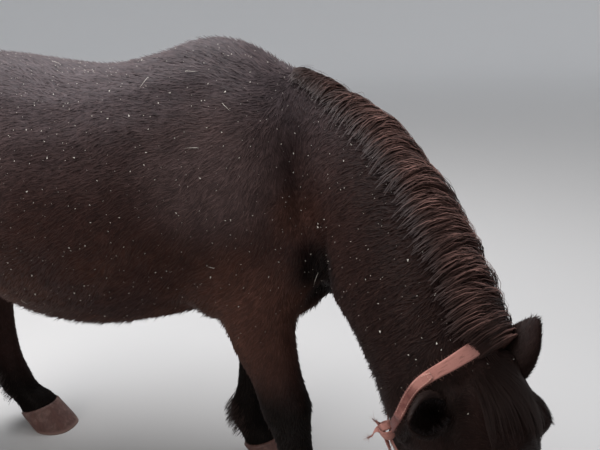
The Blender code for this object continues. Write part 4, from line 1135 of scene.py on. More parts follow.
# The crease between the shoulder and the base of the neck: x, distance out, height.
CREASE = (
    (0.372, 0.128, 0.800),
    (0.388, 0.146, 0.710),
    (0.408, 0.160, 0.645),
    (0.412, 0.145, 0.580),
    (0.402, 0.090, 0.530),
)
CREASE_DEPTH, CREASE_WIDTH = 0.022, 0.021
# The coat's depth on head, neck, legs and barrel.
COAT_DEPTHS = (0.0028, 0.0058, 0.0034, 0.0062)
SKIN_TRIANGLES = 185000


def shape_crease(points, normals):
    """Press in the crease in front of each shoulder."""
    push = np.zeros(len(points))
    for _, side in SIDES:
        run = np.array(through(CREASE, 8)) * (1, side, 1) + (PLACE.x, PLACE.y, 0)
        apart = np.linalg.norm(points[:, None] - run[None], axis=2)
        nearest = apart.argmin(axis=1)
        ends = np.sin(np.pi * (nearest + 1) / (len(run) + 1)) ** 0.5
        push = np.maximum(push, CREASE_DEPTH * ends * np.exp(-(apart.min(axis=1) / CREASE_WIDTH) ** 2))
    return points - normals * push[:, None]


points, normals = points_of(skin.data), normals_of(skin.data)
points = shape_crease(points, normals)
head, neck, legs, barrel = regions(points)
on_face = np.minimum(1, face_nearness(points) / 0.04)
head_depth, neck_depth, leg_depth, barrel_depth = COAT_DEPTHS
depth = head_depth * head * on_face + neck_depth * neck + leg_depth * legs + barrel_depth * barrel
move_points(skin.data, points - normals * depth[:, None])
paint_group(skin, "broad", np.clip(1 - head * 0.75 - (face_nearness(points) < 0.03), 0.02, 1))
skin.data.calc_loop_triangles()
modify(skin, "DECIMATE", ratio=SKIN_TRIANGLES / len(skin.data.loop_triangles), vertex_group="broad",
       vertex_group_factor=2.0, use_collapse_triangulate=True)
applied(skin)
skin.vertex_groups.clear()
skin.data.materials.clear()
skin.data.materials.append(SKIN)
shade_smooth(skin.data)
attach(skin, "root")
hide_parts("head", "neck", "torso", *LEGS)
print("the thinned skin has", len(skin.data.polygons), "faces")

# %% Arrays of the finished skin
def triangles_of(mesh):
    """A mesh's triangles as an array of point numbers."""
    mesh.calc_loop_triangles()
    corners = np.empty(len(mesh.loop_triangles) * 3, np.int32)
    mesh.loop_triangles.foreach_get("vertices", corners)
    return corners.reshape(-1, 3)


skin_points, skin_normals = points_of(skin.data), normals_of(skin.data)
skin_triangles = triangles_of(skin.data)
skin_tree = BVHTree.FromPolygons(skin_points.tolist(), skin_triangles.tolist())


def surface_hit(origin, direction, fallback=0.08):
    """Where a ray from inside the pony leaves its skin."""
    hit = skin_tree.ray_cast(origin, direction)[0]
    return hit if hit else origin + direction * fallback


print("the skin is ready for straps and hair:", len(skin_points), "points")

# %% [markdown]
# ## The headcollar
#
# The pony wears a headcollar of faded, much mended webbing: a crown strap behind the ears, a throat
# strap, two cheek straps and a noseband. A strap could be shrunk onto the head by a modifier. Here it
# is cast out onto the skin from inside, row by row, so that it can't twist. Its map "weave" counts
# metres across and along it, so the weave follows every turn. Geometry Nodes sew it: they set one
# stitch after another along a line that lies on the strap.

# %% Webbing, thread and fibres
STRAP_LIFT, STRAP_THICKNESS = 0.0026, 0.0020
STRAP_COLUMNS = 15
# The faded webbing, its deep red for blotches of dye and for painted shade, and grime.
FADED, DEEP_DYE_AND_SHADE, GRIMY = (0.385, 0.170, 0.137), (0.120, 0.036, 0.029), (0.070, 0.034, 0.026)
RIB_SPACING, PICK_SPACING = 0.0022, 0.0016


def woven(tree):
    """The ribs along the strap crossed by its picks, from -1 to 1."""
    across, along, _ = split(tree, map_place(tree, "weave"))
    waves = [math_node(tree, "SINE", times(tree, value, 2 * math.pi / spacing))
             for value, spacing in ((across, RIB_SPACING), (along, PICK_SPACING))]
    return times(tree, *waves)


def weave_streaks(tree, scale, detail):
    """A noise on the strap's map."""
    return noise(tree, stretched(tree, map_place(tree, "weave"), scale), 1.0, detail)


def weave_height(tree):
    """The threads of the weave, and soft creases."""
    return plus(tree, times(tree, woven(tree), 0.35), weave_streaks(tree, (60.0, 210.0, 1.0), 4.0))


def webbing_paint(tree):
    """Faded salmon, deep red in blotches and as painted shade, grimy in the creases, threads in painted
    light.
    """
    blotch = centred(tree, noise(tree, object_place(tree), 55.0, 4.0), 0.9)
    colour = mixed(tree, ranged(tree, plus(tree, tip_value(tree), blotch), 0.15, 0.85), FADED, DEEP_DYE_AND_SHADE)
    grime = ranged(tree, weave_streaks(tree, (420.0, 60.0, 1.0), 5.0), 0.52, 0.72)
    colour = mixed(tree, times(tree, grime, 0.6), colour, GRIMY)
    # Painted light and shade on the weave: the raised threads lighter, the dips between them darker.
    raised = ranged(tree, woven(tree), -1.0, 1.0)
    return shaded(tree, colour, raised, (0.84, 0.84, 0.84), (1.12, 1.12, 1.12))


WEBBING = finish_of("faded_webbing", webbing_paint, 0.85, weave_height, 0.7, 0.0009, Sheen_Weight=0.10,
                    Sheen_Roughness=0.5, Specular_IOR_Level=0.15)
THREAD = finish_of("pale_thread", mottled(180.0, (0.40, 0.20, 0.15), (0.58, 0.40, 0.32)), 0.7,
                   Specular_IOR_Level=0.2)
FIBRE = finish_of("webbing_fibre", mottled(70.0, (0.30, 0.12, 0.10), (0.55, 0.32, 0.26)), 0.8,
                  Specular_IOR_Level=0.15)
print("webbing of", round(1 / RIB_SPACING / 1000, 2), "ribs to the millimetre")

# %% Ribbons
strap_lines = []


def ribbon(name, rows, outward, across, painted_shade, closed=False):
    """A strap through rows of points on its underside; each row runs across it."""
    count, columns = rows.shape[:2]
    if closed:
        rows, outward, across = (np.concatenate([part, part[:1]]) for part in (rows, outward, across))
        painted_shade = np.append(painted_shade, painted_shade[0])
    u = np.linspace(-1, 1, columns)
    half = STRAP_THICKNESS / 2 * np.sqrt(1 - 0.97 * np.abs(u) ** 10)
    bead = 0.00022 * np.exp(-((np.abs(u) - 0.86) / 0.06) ** 2)
    middle = rows + outward[:, None] * STRAP_THICKNESS / 2
    top = middle + outward[:, None] * (half + bead)[None, :, None]
    under = middle - outward[:, None] * half[None, :, None]
    loops = np.concatenate([top, under[:, ::-1]], axis=1)
    along = np.append(0, np.cumsum(np.linalg.norm(np.diff(rows[:, columns // 2], axis=0), axis=1)))
    wide = np.linalg.norm(rows[:, -1] - rows[:, 0], axis=1)
    map_x = np.concatenate([u, u[::-1] + 0.13])[None] * wide[:, None] / 2
    around = 2 * columns
    points = loops.reshape(-1, 3)
    low, side = np.meshgrid(np.arange(len(rows) - 1), np.arange(around), indexing="ij")
    a, b = low * around + side, low * around + (side + 1) % around
    halves = [np.stack([a, b, b + around], -1), np.stack([a, b + around, a + around], -1)]
    triangles = np.stack(halves, 2).reshape(-1, 3)
    caps = []
    if not closed:
        for k in range(columns - 1):
            near, far = k, around - 1 - k
            last = (len(rows) - 1) * around
            caps += [(near, far, near + 1), (near + 1, far, far - 1)]
            near, far = near + last, far + last
            caps += [(near, near + 1, far), (near + 1, far - 1, far)]
        triangles = np.concatenate([triangles, np.array(caps)])
    first, second, third = (points[triangles[:, k]] for k in range(3))
    volume = np.einsum("ij,ij->i", first, np.cross(second, third)).sum()
    if volume < 0:
        triangles = triangles[:, ::-1]
    weave = np.stack([map_x.ravel(), np.repeat(along, around)], axis=1)[triangles.ravel()]
    if closed:
        end = (len(rows) - 1) * around
        triangles = np.where(triangles >= end, triangles - end, triangles)
        points, rows, painted_shade = points[:end], rows[:-1], painted_shade[:-1]
    piece = piece_from(name, points, triangles, WEBBING, tip=np.repeat(painted_shade, around),
                       weave=weave)
    strap_lines.append(rows[:, columns // 2])
    return piece, top


def smoothed(values, closed, rounds=3):
    """Values evened with their neighbours along a strap."""
    for _ in range(rounds):
        before, after = np.roll(values, 1, 0), np.roll(values, -1, 0)
        if not closed:
            before[0], after[-1] = values[0], values[-1]
        values = (before + 2 * values + after) / 4
    return values


def laid_strap(name, samples, widths, painted_shade, closed=False, lift=STRAP_LIFT):
    """A strap cast out onto the skin from (origin, way out, way across) samples, lifted off it by lift."""
    widths, painted_shade = (np.broadcast_to(value, len(samples)) for value in (widths, painted_shade))
    origins, ways, across = (np.array([tuple(sample[k]) for sample in samples]) for k in range(3))
    u = np.linspace(-0.5, 0.5, STRAP_COLUMNS)
    starts = origins[:, None] + across[:, None] * (u[None, :, None] * widths[:, None, None])
    reach = np.array([[(surface_hit(Vector(start), Vector(way)) - Vector(start)).length for start in row]
                      for row, way in zip(starts, ways)])
    even = smoothed(reach, closed, 6)
    even = smoothed(np.maximum(even, reach - 0.0006).T, False, 4).T
    rows = starts + ways[:, None] * (even + np.broadcast_to(lift, len(even))[:, None])[:, :, None]
    return ribbon(name, rows, ways, across, painted_shade, closed)


# %% Stitches by Geometry Nodes
def stitch_tree():
    """Node tree: resample a line, set a slender thread on each point, turn it along the line."""
    tree = bpy.data.node_groups.new("stitches", "GeometryNodeTree")
    sockets = {}
    for label, kind in (("Geometry", "Geometry"), ("Pitch", "Float"), ("Length", "Float"),
                        ("Radius", "Float"), ("Thread", "Material")):
        made = tree.interface.new_socket(label, in_out="INPUT", socket_type="NodeSocket" + kind)
        sockets[label] = made.identifier
    tree.interface.new_socket("Geometry", in_out="OUTPUT", socket_type="NodeSocketGeometry")

    def add(kind, inputs=None, **settings):
        made = tree.nodes.new(kind)
        for key, value in settings.items():
            setattr(made, key, value)
        for key, value in (inputs or {}).items():
            made.inputs[key].default_value = value
        return made

    given = add("NodeGroupInput")
    result = add("NodeGroupOutput")
    curve = add("GeometryNodeMeshToCurve")
    even = add("GeometryNodeResampleCurve", mode="LENGTH")
    thread = add("GeometryNodeMeshUVSphere", {"Segments": 8, "Rings": 6, "Radius": 1.0})
    size = add("ShaderNodeCombineXYZ")
    half_length = add("ShaderNodeMath", {1: 0.5}, operation="MULTIPLY")
    vary = add("FunctionNodeRandomValue", {2: 0.85, 3: 1.15, "Seed": 5}, data_type="FLOAT")
    sized = add("ShaderNodeVectorMath", operation="SCALE")
    tangent = add("GeometryNodeInputTangent")
    out = add("GeometryNodeInputNamedAttribute", {"Name": "out"}, data_type="FLOAT_VECTOR")
    along = add("FunctionNodeAlignRotationToVector", axis="X")
    upright = add("FunctionNodeAlignRotationToVector", axis="Z", pivot_axis="X")
    placed = add("GeometryNodeInstanceOnPoints")
    real = add("GeometryNodeRealizeInstances")
    painted = add("GeometryNodeSetMaterial")
    for source, output, target, entry in (
            (given, "Geometry", curve, "Mesh"), (curve, "Curve", even, "Curve"),
            (given, "Pitch", even, "Length"), (given, "Length", half_length, 0), (half_length, 0, size, 0),
            (given, "Radius", size, 1), (given, "Radius", size, 2), (size, 0, sized, 0),
            (vary, 1, sized, "Scale"), (tangent, 0, along, "Vector"), (along, 0, upright, "Rotation"),
            (out, 0, upright, "Vector"), (even, 0, placed, "Points"), (thread, 0, placed, "Instance"),
            (upright, 0, placed, "Rotation"), (sized, 0, placed, "Scale"), (placed, 0, real, 0),
            (real, 0, painted, "Geometry"), (given, "Thread", painted, "Material"), (painted, 0, result, 0)):
        tree.links.new(source.outputs[output], target.inputs[entry])
    return tree, sockets


STITCHES, STITCH_SOCKETS = stitch_tree()
STITCH_PITCH, STITCH_LENGTH, STITCH_RADIUS = 0.0042, 0.0030, 0.00042


def sew(name, lines):
    """Stitches along lines, each a run of points and the way out of the strap there."""
    points = np.concatenate([line for line, _ in lines])
    outward = np.concatenate([out for _, out in lines])
    mesh = bpy.data.meshes.new(name)
    edges, start = [], 0
    for line, _ in lines:
        edges += [(start + k, start + k + 1) for k in range(len(line) - 1)]
        start += len(line)
    mesh.from_pydata(points.tolist(), edges, [])
    values = mesh.attributes.new("out", "FLOAT_VECTOR", "POINT")
    values.data.foreach_set("vector", outward.astype(np.float32).ravel())
    sewn = link(bpy.data.objects.new(name, mesh))
    sewing = sewn.modifiers.new("stitches", "NODES")
    sewing.node_group = STITCHES
    for label, value in (("Pitch", STITCH_PITCH), ("Length", STITCH_LENGTH), ("Radius", STITCH_RADIUS),
                         ("Thread", THREAD)):
        sewing[STITCH_SOCKETS[label]] = value
    applied(sewn)
    shade_smooth(sewn.data)
    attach(sewn, "root")
    print(name, len(sewn.data.polygons), "faces")


# %% Lay the straps
RING_DOWN, RING_FRONT, RING_LEAN = 0.128, -0.124, -0.30
NOSEBAND_DOWN, NOSEBAND_FRONT = 0.292, -0.050
CROWN_SIDE = ((0.000, -0.054, 0.15), (0.040, -0.070, 0.08), (0.080, -0.094, -0.05), (0.112, -0.119, -0.25))
CROWN_TOP = (150, 120, 90, 60, 30)
CROWN_PLANE_SHIFT, CROWN_HUB_DEPTH, HEAD_REACH = 0.017, 0.085, 0.09


def swept(stations, steps):
    """Samples through stations of (origin, way out), with the way across the strap worked out."""
    run = through([(*origin, *direction.normalized()) for origin, direction in stations], steps)
    ways = [(Vector(row[:3]), Vector(row[3:]).normalized()) for row in run]
    samples = []
    for i, (origin, direction) in enumerate(ways):
        before, after = ways[max(i - 1, 0)], ways[min(i + 1, len(ways) - 1)]
        course = (after[0] + after[1] * HEAD_REACH) - (before[0] + before[1] * HEAD_REACH)
        samples.append((origin, direction, direction.cross(course).normalized()))
    return samples


def crown_samples():
    """From below the right ear, over the poll, to below the left ear."""
    upward = HEAD_WAY.cross(FACE_LEFT).normalized()
    upward *= math.copysign(1, upward.dot(FACE_FRONT))
    hub = HEAD_PLANE + HEAD_WAY * CROWN_PLANE_SHIFT - upward * CROWN_HUB_DEPTH
    near, far = ([(on_head(down, 0, front), FACE_LEFT * side + FACE_FRONT * lean)
                  for down, front, lean in CROWN_SIDE] for _, side in SIDES)
    top = [(hub, FACE_LEFT * math.cos(turn) + upward * math.sin(turn))
           for turn in map(math.radians, CROWN_TOP)]
    return swept(near[::-1] + top + far, 8)


def throat_samples():
    """From ring to ring under the jaw."""
    stations = []
    for k in range(15):
        angle = math.pi * k / 14
        stations.append((on_head(RING_DOWN - 0.012 * math.sin(angle), 0, RING_FRONT),
                         FACE_LEFT * -math.cos(angle) + FACE_FRONT * (RING_LEAN - 0.75 * math.sin(angle))))
    return [(origin, way, FACE_DOWN) for origin, way, _ in swept(stations, 4)]


def cheek_samples(side):
    """From the ring down the cheek to the noseband."""
    stations = []
    for k in range(11):
        share = k / 10
        origin = on_head(between(RING_DOWN + 0.010, NOSEBAND_DOWN - 0.010, share), 0,
                         between(RING_FRONT, -0.052, share ** 1.5))
        stations.append((origin, FACE_LEFT * side + FACE_FRONT * between(RING_LEAN, 0.0, share)))
    return swept(stations, 5)


def nose_samples():
    """All round the nose."""
    samples = []
    for k in range(96):
        angle = 2 * math.pi * k / 96
        way = (FACE_LEFT * math.cos(angle) + FACE_FRONT * math.sin(angle)).normalized()
        samples.append((on_head(NOSEBAND_DOWN, 0, NOSEBAND_FRONT), way, FACE_DOWN))
    return samples


def ways_of(samples):
    """The ways out of a strap's samples, as an array."""
    return np.array([tuple(sample[1]) for sample in samples])


crown, nose = crown_samples(), nose_samples()
place = np.linspace(0, 1, len(crown))
crown_width = 0.0150 + 0.0085 * np.exp(-((place - 0.52) / 0.17) ** 2)
# Painted shade: each strap's share of deep red stands in for shade, most on the crown strap's sides under the
# ears, less under the jaw, on the cheeks and round the nose, least on top of the head.
crown_painted_shade = 1.1 - 1.15 * ease(0.24, 0.33, place) * ease(0.76, 0.66, place)
crown_piece, crown_top = laid_strap("crown_strap", crown, crown_width, crown_painted_shade)
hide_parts("halter_crown")
throat_piece, _ = laid_strap("throat_strap", throat_samples(), 0.0175, 0.55)
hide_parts("halter_throat")
nose_piece, nose_top = laid_strap("noseband", nose, 0.025, 0.30, True)
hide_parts("halter_noseband")
for name, side in SIDES:
    cheek = cheek_samples(side)
    cheek_width = 0.0215 - 0.0075 * np.exp(-np.linspace(0, 3.0, len(cheek)) ** 2)
    cheek_lift = STRAP_LIFT + 0.0085 * np.exp(-(np.linspace(0, 1, len(cheek)) / 0.30) ** 2)
    cheek_painted_shade = np.linspace(0.35, 0.15, len(cheek))
    cheek_piece, _ = laid_strap("cheek_strap_" + name, cheek, cheek_width, cheek_painted_shade, lift=cheek_lift)
    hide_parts("halter_cheek_" + name)

# %% The doubled end of the crown strap, and its seams
DOUBLED = (0.17, 0.365)
first, last = (int(share * len(crown)) for share in DOUBLED)
layer_rows = np.arange(first, last)
end_share = np.clip((last - 1 - layer_rows) / 5, 0, 1)
layer_width = crown_width[layer_rows] * 0.96 * np.sqrt(1 - (1 - end_share) ** 2 * 0.72)
_, doubled_top = laid_strap("doubled_end", [crown[k] for k in layer_rows], layer_width,
                                        crown_painted_shade[layer_rows] * 0.6, lift=STRAP_LIFT + STRAP_THICKNESS)
ways = ways_of(crown)
seams = [(doubled_top[2:, column], ways[layer_rows][2:]) for column in (2, STRAP_COLUMNS - 3)]
seams.append((doubled_top[-2, 2:-2], np.repeat(ways[last - 2:last - 1], STRAP_COLUMNS - 4, 0)))
seams += [(nose_top[first:first + 9, column], ways_of(nose[first:first + 9]))
          for first in (40, 86) for column in (2, 5, STRAP_COLUMNS - 6, STRAP_COLUMNS - 3)]
sew("seams", seams)

# %% Knots at the rings, with frayed ends
# Each turn of the knot: how far it leans, and where it lies along its own axis.
KNOT_TURNS = ((-0.55, -0.0056), (0.50, 0.0056), (0.05, 0.0))
# Each loose end: how far it reaches back, down and out, how it bends back and down, and its width.
LOOSE_ENDS = (
    ((0.012, 0.006, 0.022), (0.0, -0.008, 0.0), 0.0165),
    ((0.008, -0.020, 0.008), (0.010, 0.0, 0.0), 0.0150),
    ((-0.004, 0.030, 0.003), (0.008, 0.0, 0.0), 0.0145),
)
KNOT_POINTS, KNOT_RADIUS, KNOT_GROWTH, KNOT_WIDTH = 30, 0.0108, 0.0018, 0.0130


def free_ribbon(name, centres, outward, width, painted_shade):
    """A ribbon that isn't laid on the skin, through points with a way out at each."""
    course = unit(np.gradient(centres, axis=0))
    across = unit(np.cross(course, outward))
    spread = np.linspace(-0.5, 0.5, STRAP_COLUMNS)[None, :, None] * width[:, None, None]
    rows = centres[:, None] + across[:, None] * spread
    return ribbon(name, rows, unit(np.cross(across, course)), across, np.full(len(centres), painted_shade))


def frayed(name, roots, ways, seed, length=0.011):
    """Loose fibres at the ends and edges of the webbing."""
    draw = np.random.default_rng(seed)
    t = np.linspace(0, 1, 6)[None, :, None]
    stray = draw.normal(0, 0.45, (len(roots), 1, 3))
    reach = length * draw.uniform(0.4, 1.2, (len(roots), 1, 1))
    paths = roots[:, None] + reach * (ways[:, None] * t + stray * t ** 2)
    lock_piece(name, paths, np.array(FACE_FRONT), draw.uniform(0.00022, 0.00045, len(roots)), 0.8, FIBRE)


def knot(name, side):
    """A strap knotted on itself below the ear: crossing turns, and worn ends."""
    way = (FACE_LEFT * side + FACE_FRONT * RING_LEAN).normalized()
    middle = np.array(surface_hit(on_head(RING_DOWN - 0.011, 0, RING_FRONT), way) + way * 0.0150)
    out, down = np.array(way), np.array(FACE_DOWN)
    back = np.cross(down, out) * -math.copysign(1, np.dot(np.cross(down, out), FACE_FRONT))
    angles = np.linspace(0, 2 * math.pi, KNOT_POINTS, endpoint=False)[:, None]
    for turn, (lean, shift) in enumerate(KNOT_TURNS):
        axis = unit(down * math.cos(lean) + back * math.sin(lean))
        spokes = unit(np.cross(axis, out)) * np.cos(angles) + out * np.sin(angles) * 0.85
        loop = middle + axis * shift + spokes * (KNOT_RADIUS + KNOT_GROWTH * turn)
        rows = loop[:, None] + axis * (np.linspace(-0.5, 0.5, 9) * KNOT_WIDTH)[None, :, None]
        axes, painted_shade = np.repeat(axis[None], KNOT_POINTS, 0), np.full(KNOT_POINTS, 0.25)
        ribbon(f"knot_{name}_{turn + 1}", rows, unit(spokes), axes, painted_shade, True)
    t = np.linspace(0, 1, 14)[:, None]
    for k, (reach, bend, width) in enumerate(LOOSE_ENDS, 1):
        reach, bend = (np.array(part) @ np.array((back, down, out)) for part in (reach, bend))
        centres = middle + out * 0.004 + reach * t + bend * np.sin(math.pi * t) - bend * t * 0.5
        twisted = np.cos(1.2 * t) * out[None] + np.sin(1.2 * t) * unit(np.cross(reach, out))[None]
        widths = width * (1 - 0.62 * t[:, 0] ** 1.4)
        _, end_top = free_ribbon(f"loose_end_{name}_{k}", centres, twisted, widths, 0.1)
        tips = np.repeat(end_top[-1], 3, 0)
        frayed(f"frayed_{name}_{k}", tips, np.repeat(unit(reach)[None], len(tips), 0), 44 + k)


for name, side in SIDES:
    knot(name, side)
edge_rows = np.arange(4, len(crown) - 4)
edges = [(crown_top[edge_rows, column], crown_top[edge_rows, 7]) for column in (0, -1)]
edge_roots = np.concatenate([edge for edge, _ in edges] * 2)
edge_ways = unit(np.concatenate([edge - middle for edge, middle in edges] * 2))
frayed("crown_fuzz", edge_roots, edge_ways, 49, 0.0036)

STRAP_POINTS = np.concatenate(strap_lines)


def strap_distance(points):
    """Distance of points from the middle of the nearest strap."""
    reach = np.full(len(points), 1.0)
    close = np.nonzero(np.linalg.norm(points - np.array(on_head(0.12, 0, -0.07)), axis=1) < 0.36)[0]
    for start in range(0, len(close), 20000):
        some = close[start:start + 20000]
        reach[some] = np.linalg.norm(points[some][:, None] - STRAP_POINTS[None], axis=2).min(axis=1)
    return reach


# %% [markdown]
# ## The coat
#
# A pony's autumn coat is short and lies flat: backwards and down on the barrel, down the legs, and
# away from a whorl between the eyes. A bumpy skin would do from far off, but the outline of a real
# coat is soft. So each tuft is a slender closed spike, rooted in the skin at an even random place
# and laid along that flow. Wider fields of change gather neighbours into clumps.

# %% Scatter roots over a surface
def scatter(points, normals, triangles, density, draw):
    """Even random places on a surface: density is roots per square metre at each point."""
    corner = points[triangles]
    areas = np.linalg.norm(np.cross(corner[:, 1] - corner[:, 0], corner[:, 2] - corner[:, 0]), axis=1) / 2
    reach = np.cumsum(areas * density[triangles].mean(axis=1))
    count = int(reach[-1])
    picked = np.searchsorted(reach, (np.arange(count) + draw.random(count)) / count * reach[-1])
    picked = np.minimum(picked, len(triangles) - 1)
    u, v = draw.random((2, count))
    u, v = np.where(u + v > 1, 1 - u, u), np.where(u + v > 1, 1 - v, v)
    weights = np.stack([1 - u - v, u, v], axis=1)[:, :, None]
    chosen = triangles[picked]
    return (points[chosen] * weights).sum(axis=1), unit((normals[chosen] * weights).sum(axis=1))


def laid_along(way, normals, angle):
    """A direction laid into the surface and turned about its normal by an angle."""
    flat = unit(way - normals * (way * normals).sum(axis=1, keepdims=True))
    return flat * np.cos(angle)[:, None] + np.cross(normals, flat) * np.sin(angle)[:, None]


# %% The flow of the coat
WHORL_DOWN = 0.128
# Which way the hair of neck and legs lies: forwards, to the left, and up.
NECK_LIE = (-0.33, 0.27, -0.50)
LEG_LIE = (-0.12, 0.0, -1.0)


def coat_flow(points, normals):
    """Which way the hair lies at each place."""
    head, neck, legs, barrel = regions(points)
    x, z = points[:, 0] - PLACE.x, points[:, 2]
    chest = ease(0.22, 0.42, x)
    on_back = ease(0.78, 0.94, z)
    sink = -0.62 + 0.40 * on_back - 0.4 * chest
    barrel_way = np.stack([-0.95 + 0.75 * chest, np.zeros(len(x)), sink], axis=1)
    view = head_view(points)
    forehead = ease(0.0, 0.03, view[:, 2] + 0.01) * ease(0.26, 0.20, view[:, 0])
    from_whorl = np.tanh((view[:, 0] - WHORL_DOWN) / 0.025)
    down_share = 1 - forehead + forehead * from_whorl
    sideways = forehead * view[:, 1] / 0.05
    backward = (1 - forehead) * -0.35 * ease(0.38, 0.2, view[:, 0])
    head_way = np.stack([down_share, sideways, backward], axis=1) @ HEAD_AXES
    neck_way, leg_way = np.array(NECK_LIE), np.array(LEG_LIE)
    way = (barrel_way * barrel[:, None] + neck_way * neck[:, None] + leg_way * legs[:, None]
           + head_way * head[:, None])
    angle = 0.22 * ripple(points, 0.035, 3) + 0.16 * ripple(points, 0.16, 4)
    return laid_along(way, normals, angle)


# %% Grow the coat
# Tufts to the square metre.
BARREL_DENSITY, NECK_DENSITY, LEG_DENSITY, HEAD_DENSITY = 4.9e4, 6.8e4, 8.0e4, 12.5e4
# Lengths and widths on head, neck, legs and barrel, and what some places have more or less.
COAT_LENGTHS = (0.0080, 0.0135, 0.0105, 0.0155)
COAT_WIDTHS = (0.0014, 0.0019, 0.0018, 0.0022)
MUZZLE_SHORTER, BELLY_LONGER, BACK_LONGER, JOWL_LONGER = 0.0042, 0.016, 0.004, 0.016


def hair_sizes(points, normals, draw):
    """Length, width and lift of the tuft at each root."""
    head, neck, legs, barrel = regions(points)
    view = head_view(points)
    muzzle = ease(0.26, 0.40, view[:, 0])
    belly = ease(0.56, 0.44, points[:, 2]) * barrel * ease(-0.2, -0.7, normals[:, 2])
    long_back = ease(0.90, 0.97, points[:, 2])
    head_long, neck_long, leg_long, barrel_long = COAT_LENGTHS
    length = (barrel_long * barrel + neck_long * neck + leg_long * legs
              + (head_long - MUZZLE_SHORTER * muzzle) * head + BELLY_LONGER * belly
              + BACK_LONGER * long_back * barrel)
    on_face = np.minimum(1, face_nearness(points) / 0.03)
    length *= draw.uniform(0.65, 1.2, len(points)) * (0.55 + 0.45 * on_face)
    pressed = ease(0.024, 0.014, strap_distance(points))
    length *= 1 - 0.55 * pressed
    jowl = np.maximum(head, neck * ease(-0.02, 0.03, view[:, 0])) * ease(-0.095, -0.130, view[:, 2])
    jowl *= ease(0.26, 0.20, view[:, 0])
    length += JOWL_LONGER * jowl * (1 - pressed) * draw.uniform(0.4, 1.2, len(points))
    head_wide, neck_wide, leg_wide, barrel_wide = COAT_WIDTHS
    width = barrel_wide * barrel + neck_wide * neck + leg_wide * legs + head_wide * head
    lift = draw.normal(15, 6, len(points)) + 6 * belly + 5 * long_back + 14 * jowl
    lift = np.radians(np.clip(lift, 2, 42)) * (1 - 0.8 * pressed)
    return length, width * draw.uniform(0.7, 1.3, len(points)), lift


def bare(points):
    """True inside the eye openings, nostrils and mouth."""
    view = head_view(points)
    inside = (np.abs(view[:, 2] - mouth_plane(view[:, 0])) < 0.0022) & (view[:, 0] > 0.385)
    for name, side in SIDES:
        eye = eye_view(points, name, side)
        apart = np.hypot(eye[:, 0], eye[:, 1])
        inside |= (apart < opening_reach(np.arctan2(eye[:, 1], eye[:, 0])) + 0.0015) & (eye[:, 2] > 0)
        local = nostril_view(points, side)
        inside |= (nostril_oval(local) < 1.0) & (np.abs(local[:, 2]) < 0.02)
    return inside


def coat_piece(name, share, density, axis, seed):
    """One piece of the coat over the places where share is above a half."""
    draw = np.random.default_rng(seed)
    chosen = skin_triangles[share[skin_triangles].mean(axis=1) > 0.5]
    roots, normals = scatter(skin_points, skin_normals, chosen, np.full(len(skin_points), density), draw)
    kept = ~bare(roots)
    roots, normals = roots[kept], normals[kept]
    sizes = hair_sizes(roots, normals, draw)
    lie = laid_along(coat_flow(roots, normals), normals, draw.normal(0, 0.13, len(roots)))
    return tuft_piece(name, roots, normals, lie, sizes, COAT, axis)


head, neck, legs, barrel = regions(skin_points)
right_half = skin_points[:, 1] < PLACE.y
fore_half = skin_points[:, 0] > PLACE.x
# The start and end of each unwrap's axis, and where its seam's opposite lies.
BARREL_AXIS = (PLACE + Vector((-0.6, 0, 0.70)), PLACE + Vector((0.4, 0, 0.70)))
NECK_AXIS = (PLACE + Vector((0.34, 0, 0.72)), POLL - FACE_FRONT * 0.06, UP)
HEAD_AXIS = (on_head(-0.05, 0, -0.07), on_head(0.45, 0, -0.05), FACE_FRONT)
LEG_AXIS = (PLACE + Vector((0, 0, 0.5)), PLACE, FORWARD)
coat_piece("coat_barrel_right", barrel * right_half, BARREL_DENSITY, (*BARREL_AXIS, -LEFT), 21)
coat_piece("coat_barrel_left", barrel * ~right_half, BARREL_DENSITY, (*BARREL_AXIS, LEFT), 22)
coat_piece("coat_neck", neck, NECK_DENSITY, NECK_AXIS, 23)
coat_piece("coat_head", head, HEAD_DENSITY, HEAD_AXIS, 24)
coat_piece("coat_forelegs", legs * fore_half, LEG_DENSITY, LEG_AXIS, 25)
coat_piece("coat_hindlegs", legs * ~fore_half, LEG_DENSITY, LEG_AXIS, 26)

# %% [markdown]
# ## Ears
#
# An ear is a leaf rolled round its own length: nearly closed at the root, open in the middle and
# pointed at the tip. A cone with a cut would be stiff. So a sheet is bent over stations of width and
# depth, given its wall, and furred with short hair outside and longer hair in its cup.

# %% The rolled leaf
EAR_LENGTH = 0.100
# Each ear: its root, the way its tip points, the way it opens, and how far the tip curls that way.
EARS = {
    "right": (on_head(0.047, -0.060, -0.024), Vector((-0.45, -0.80, 0.20)),
              Vector((0.50, -0.40, 0.20)), 0.010),
    "left": (on_head(0.060, 0.064, -0.028), Vector((0.30, 0.02, 0.95)),
             Vector((0.55, 0.65, -0.20)), 0.020),
}
# Stations: share of the length, half width, half depth, how far the sheet wraps round, in degrees.
EAR_SHAPE = (
    (-0.16, 0.019, 0.017, 172),
    (0.00, 0.0215, 0.0195, 165),
    (0.18, 0.0285, 0.0205, 146),
    (0.42, 0.0325, 0.0180, 124),
    (0.65, 0.0285, 0.0145, 112),
    (0.85, 0.0175, 0.0095, 104),
    (0.96, 0.0080, 0.0050, 98),
    (1.00, 0.0022, 0.0016, 92),
)
EAR_ROWS, EAR_COLUMNS = 4, 22
EAR_WALL = 0.0024
EAR_DENSITY = 30e4


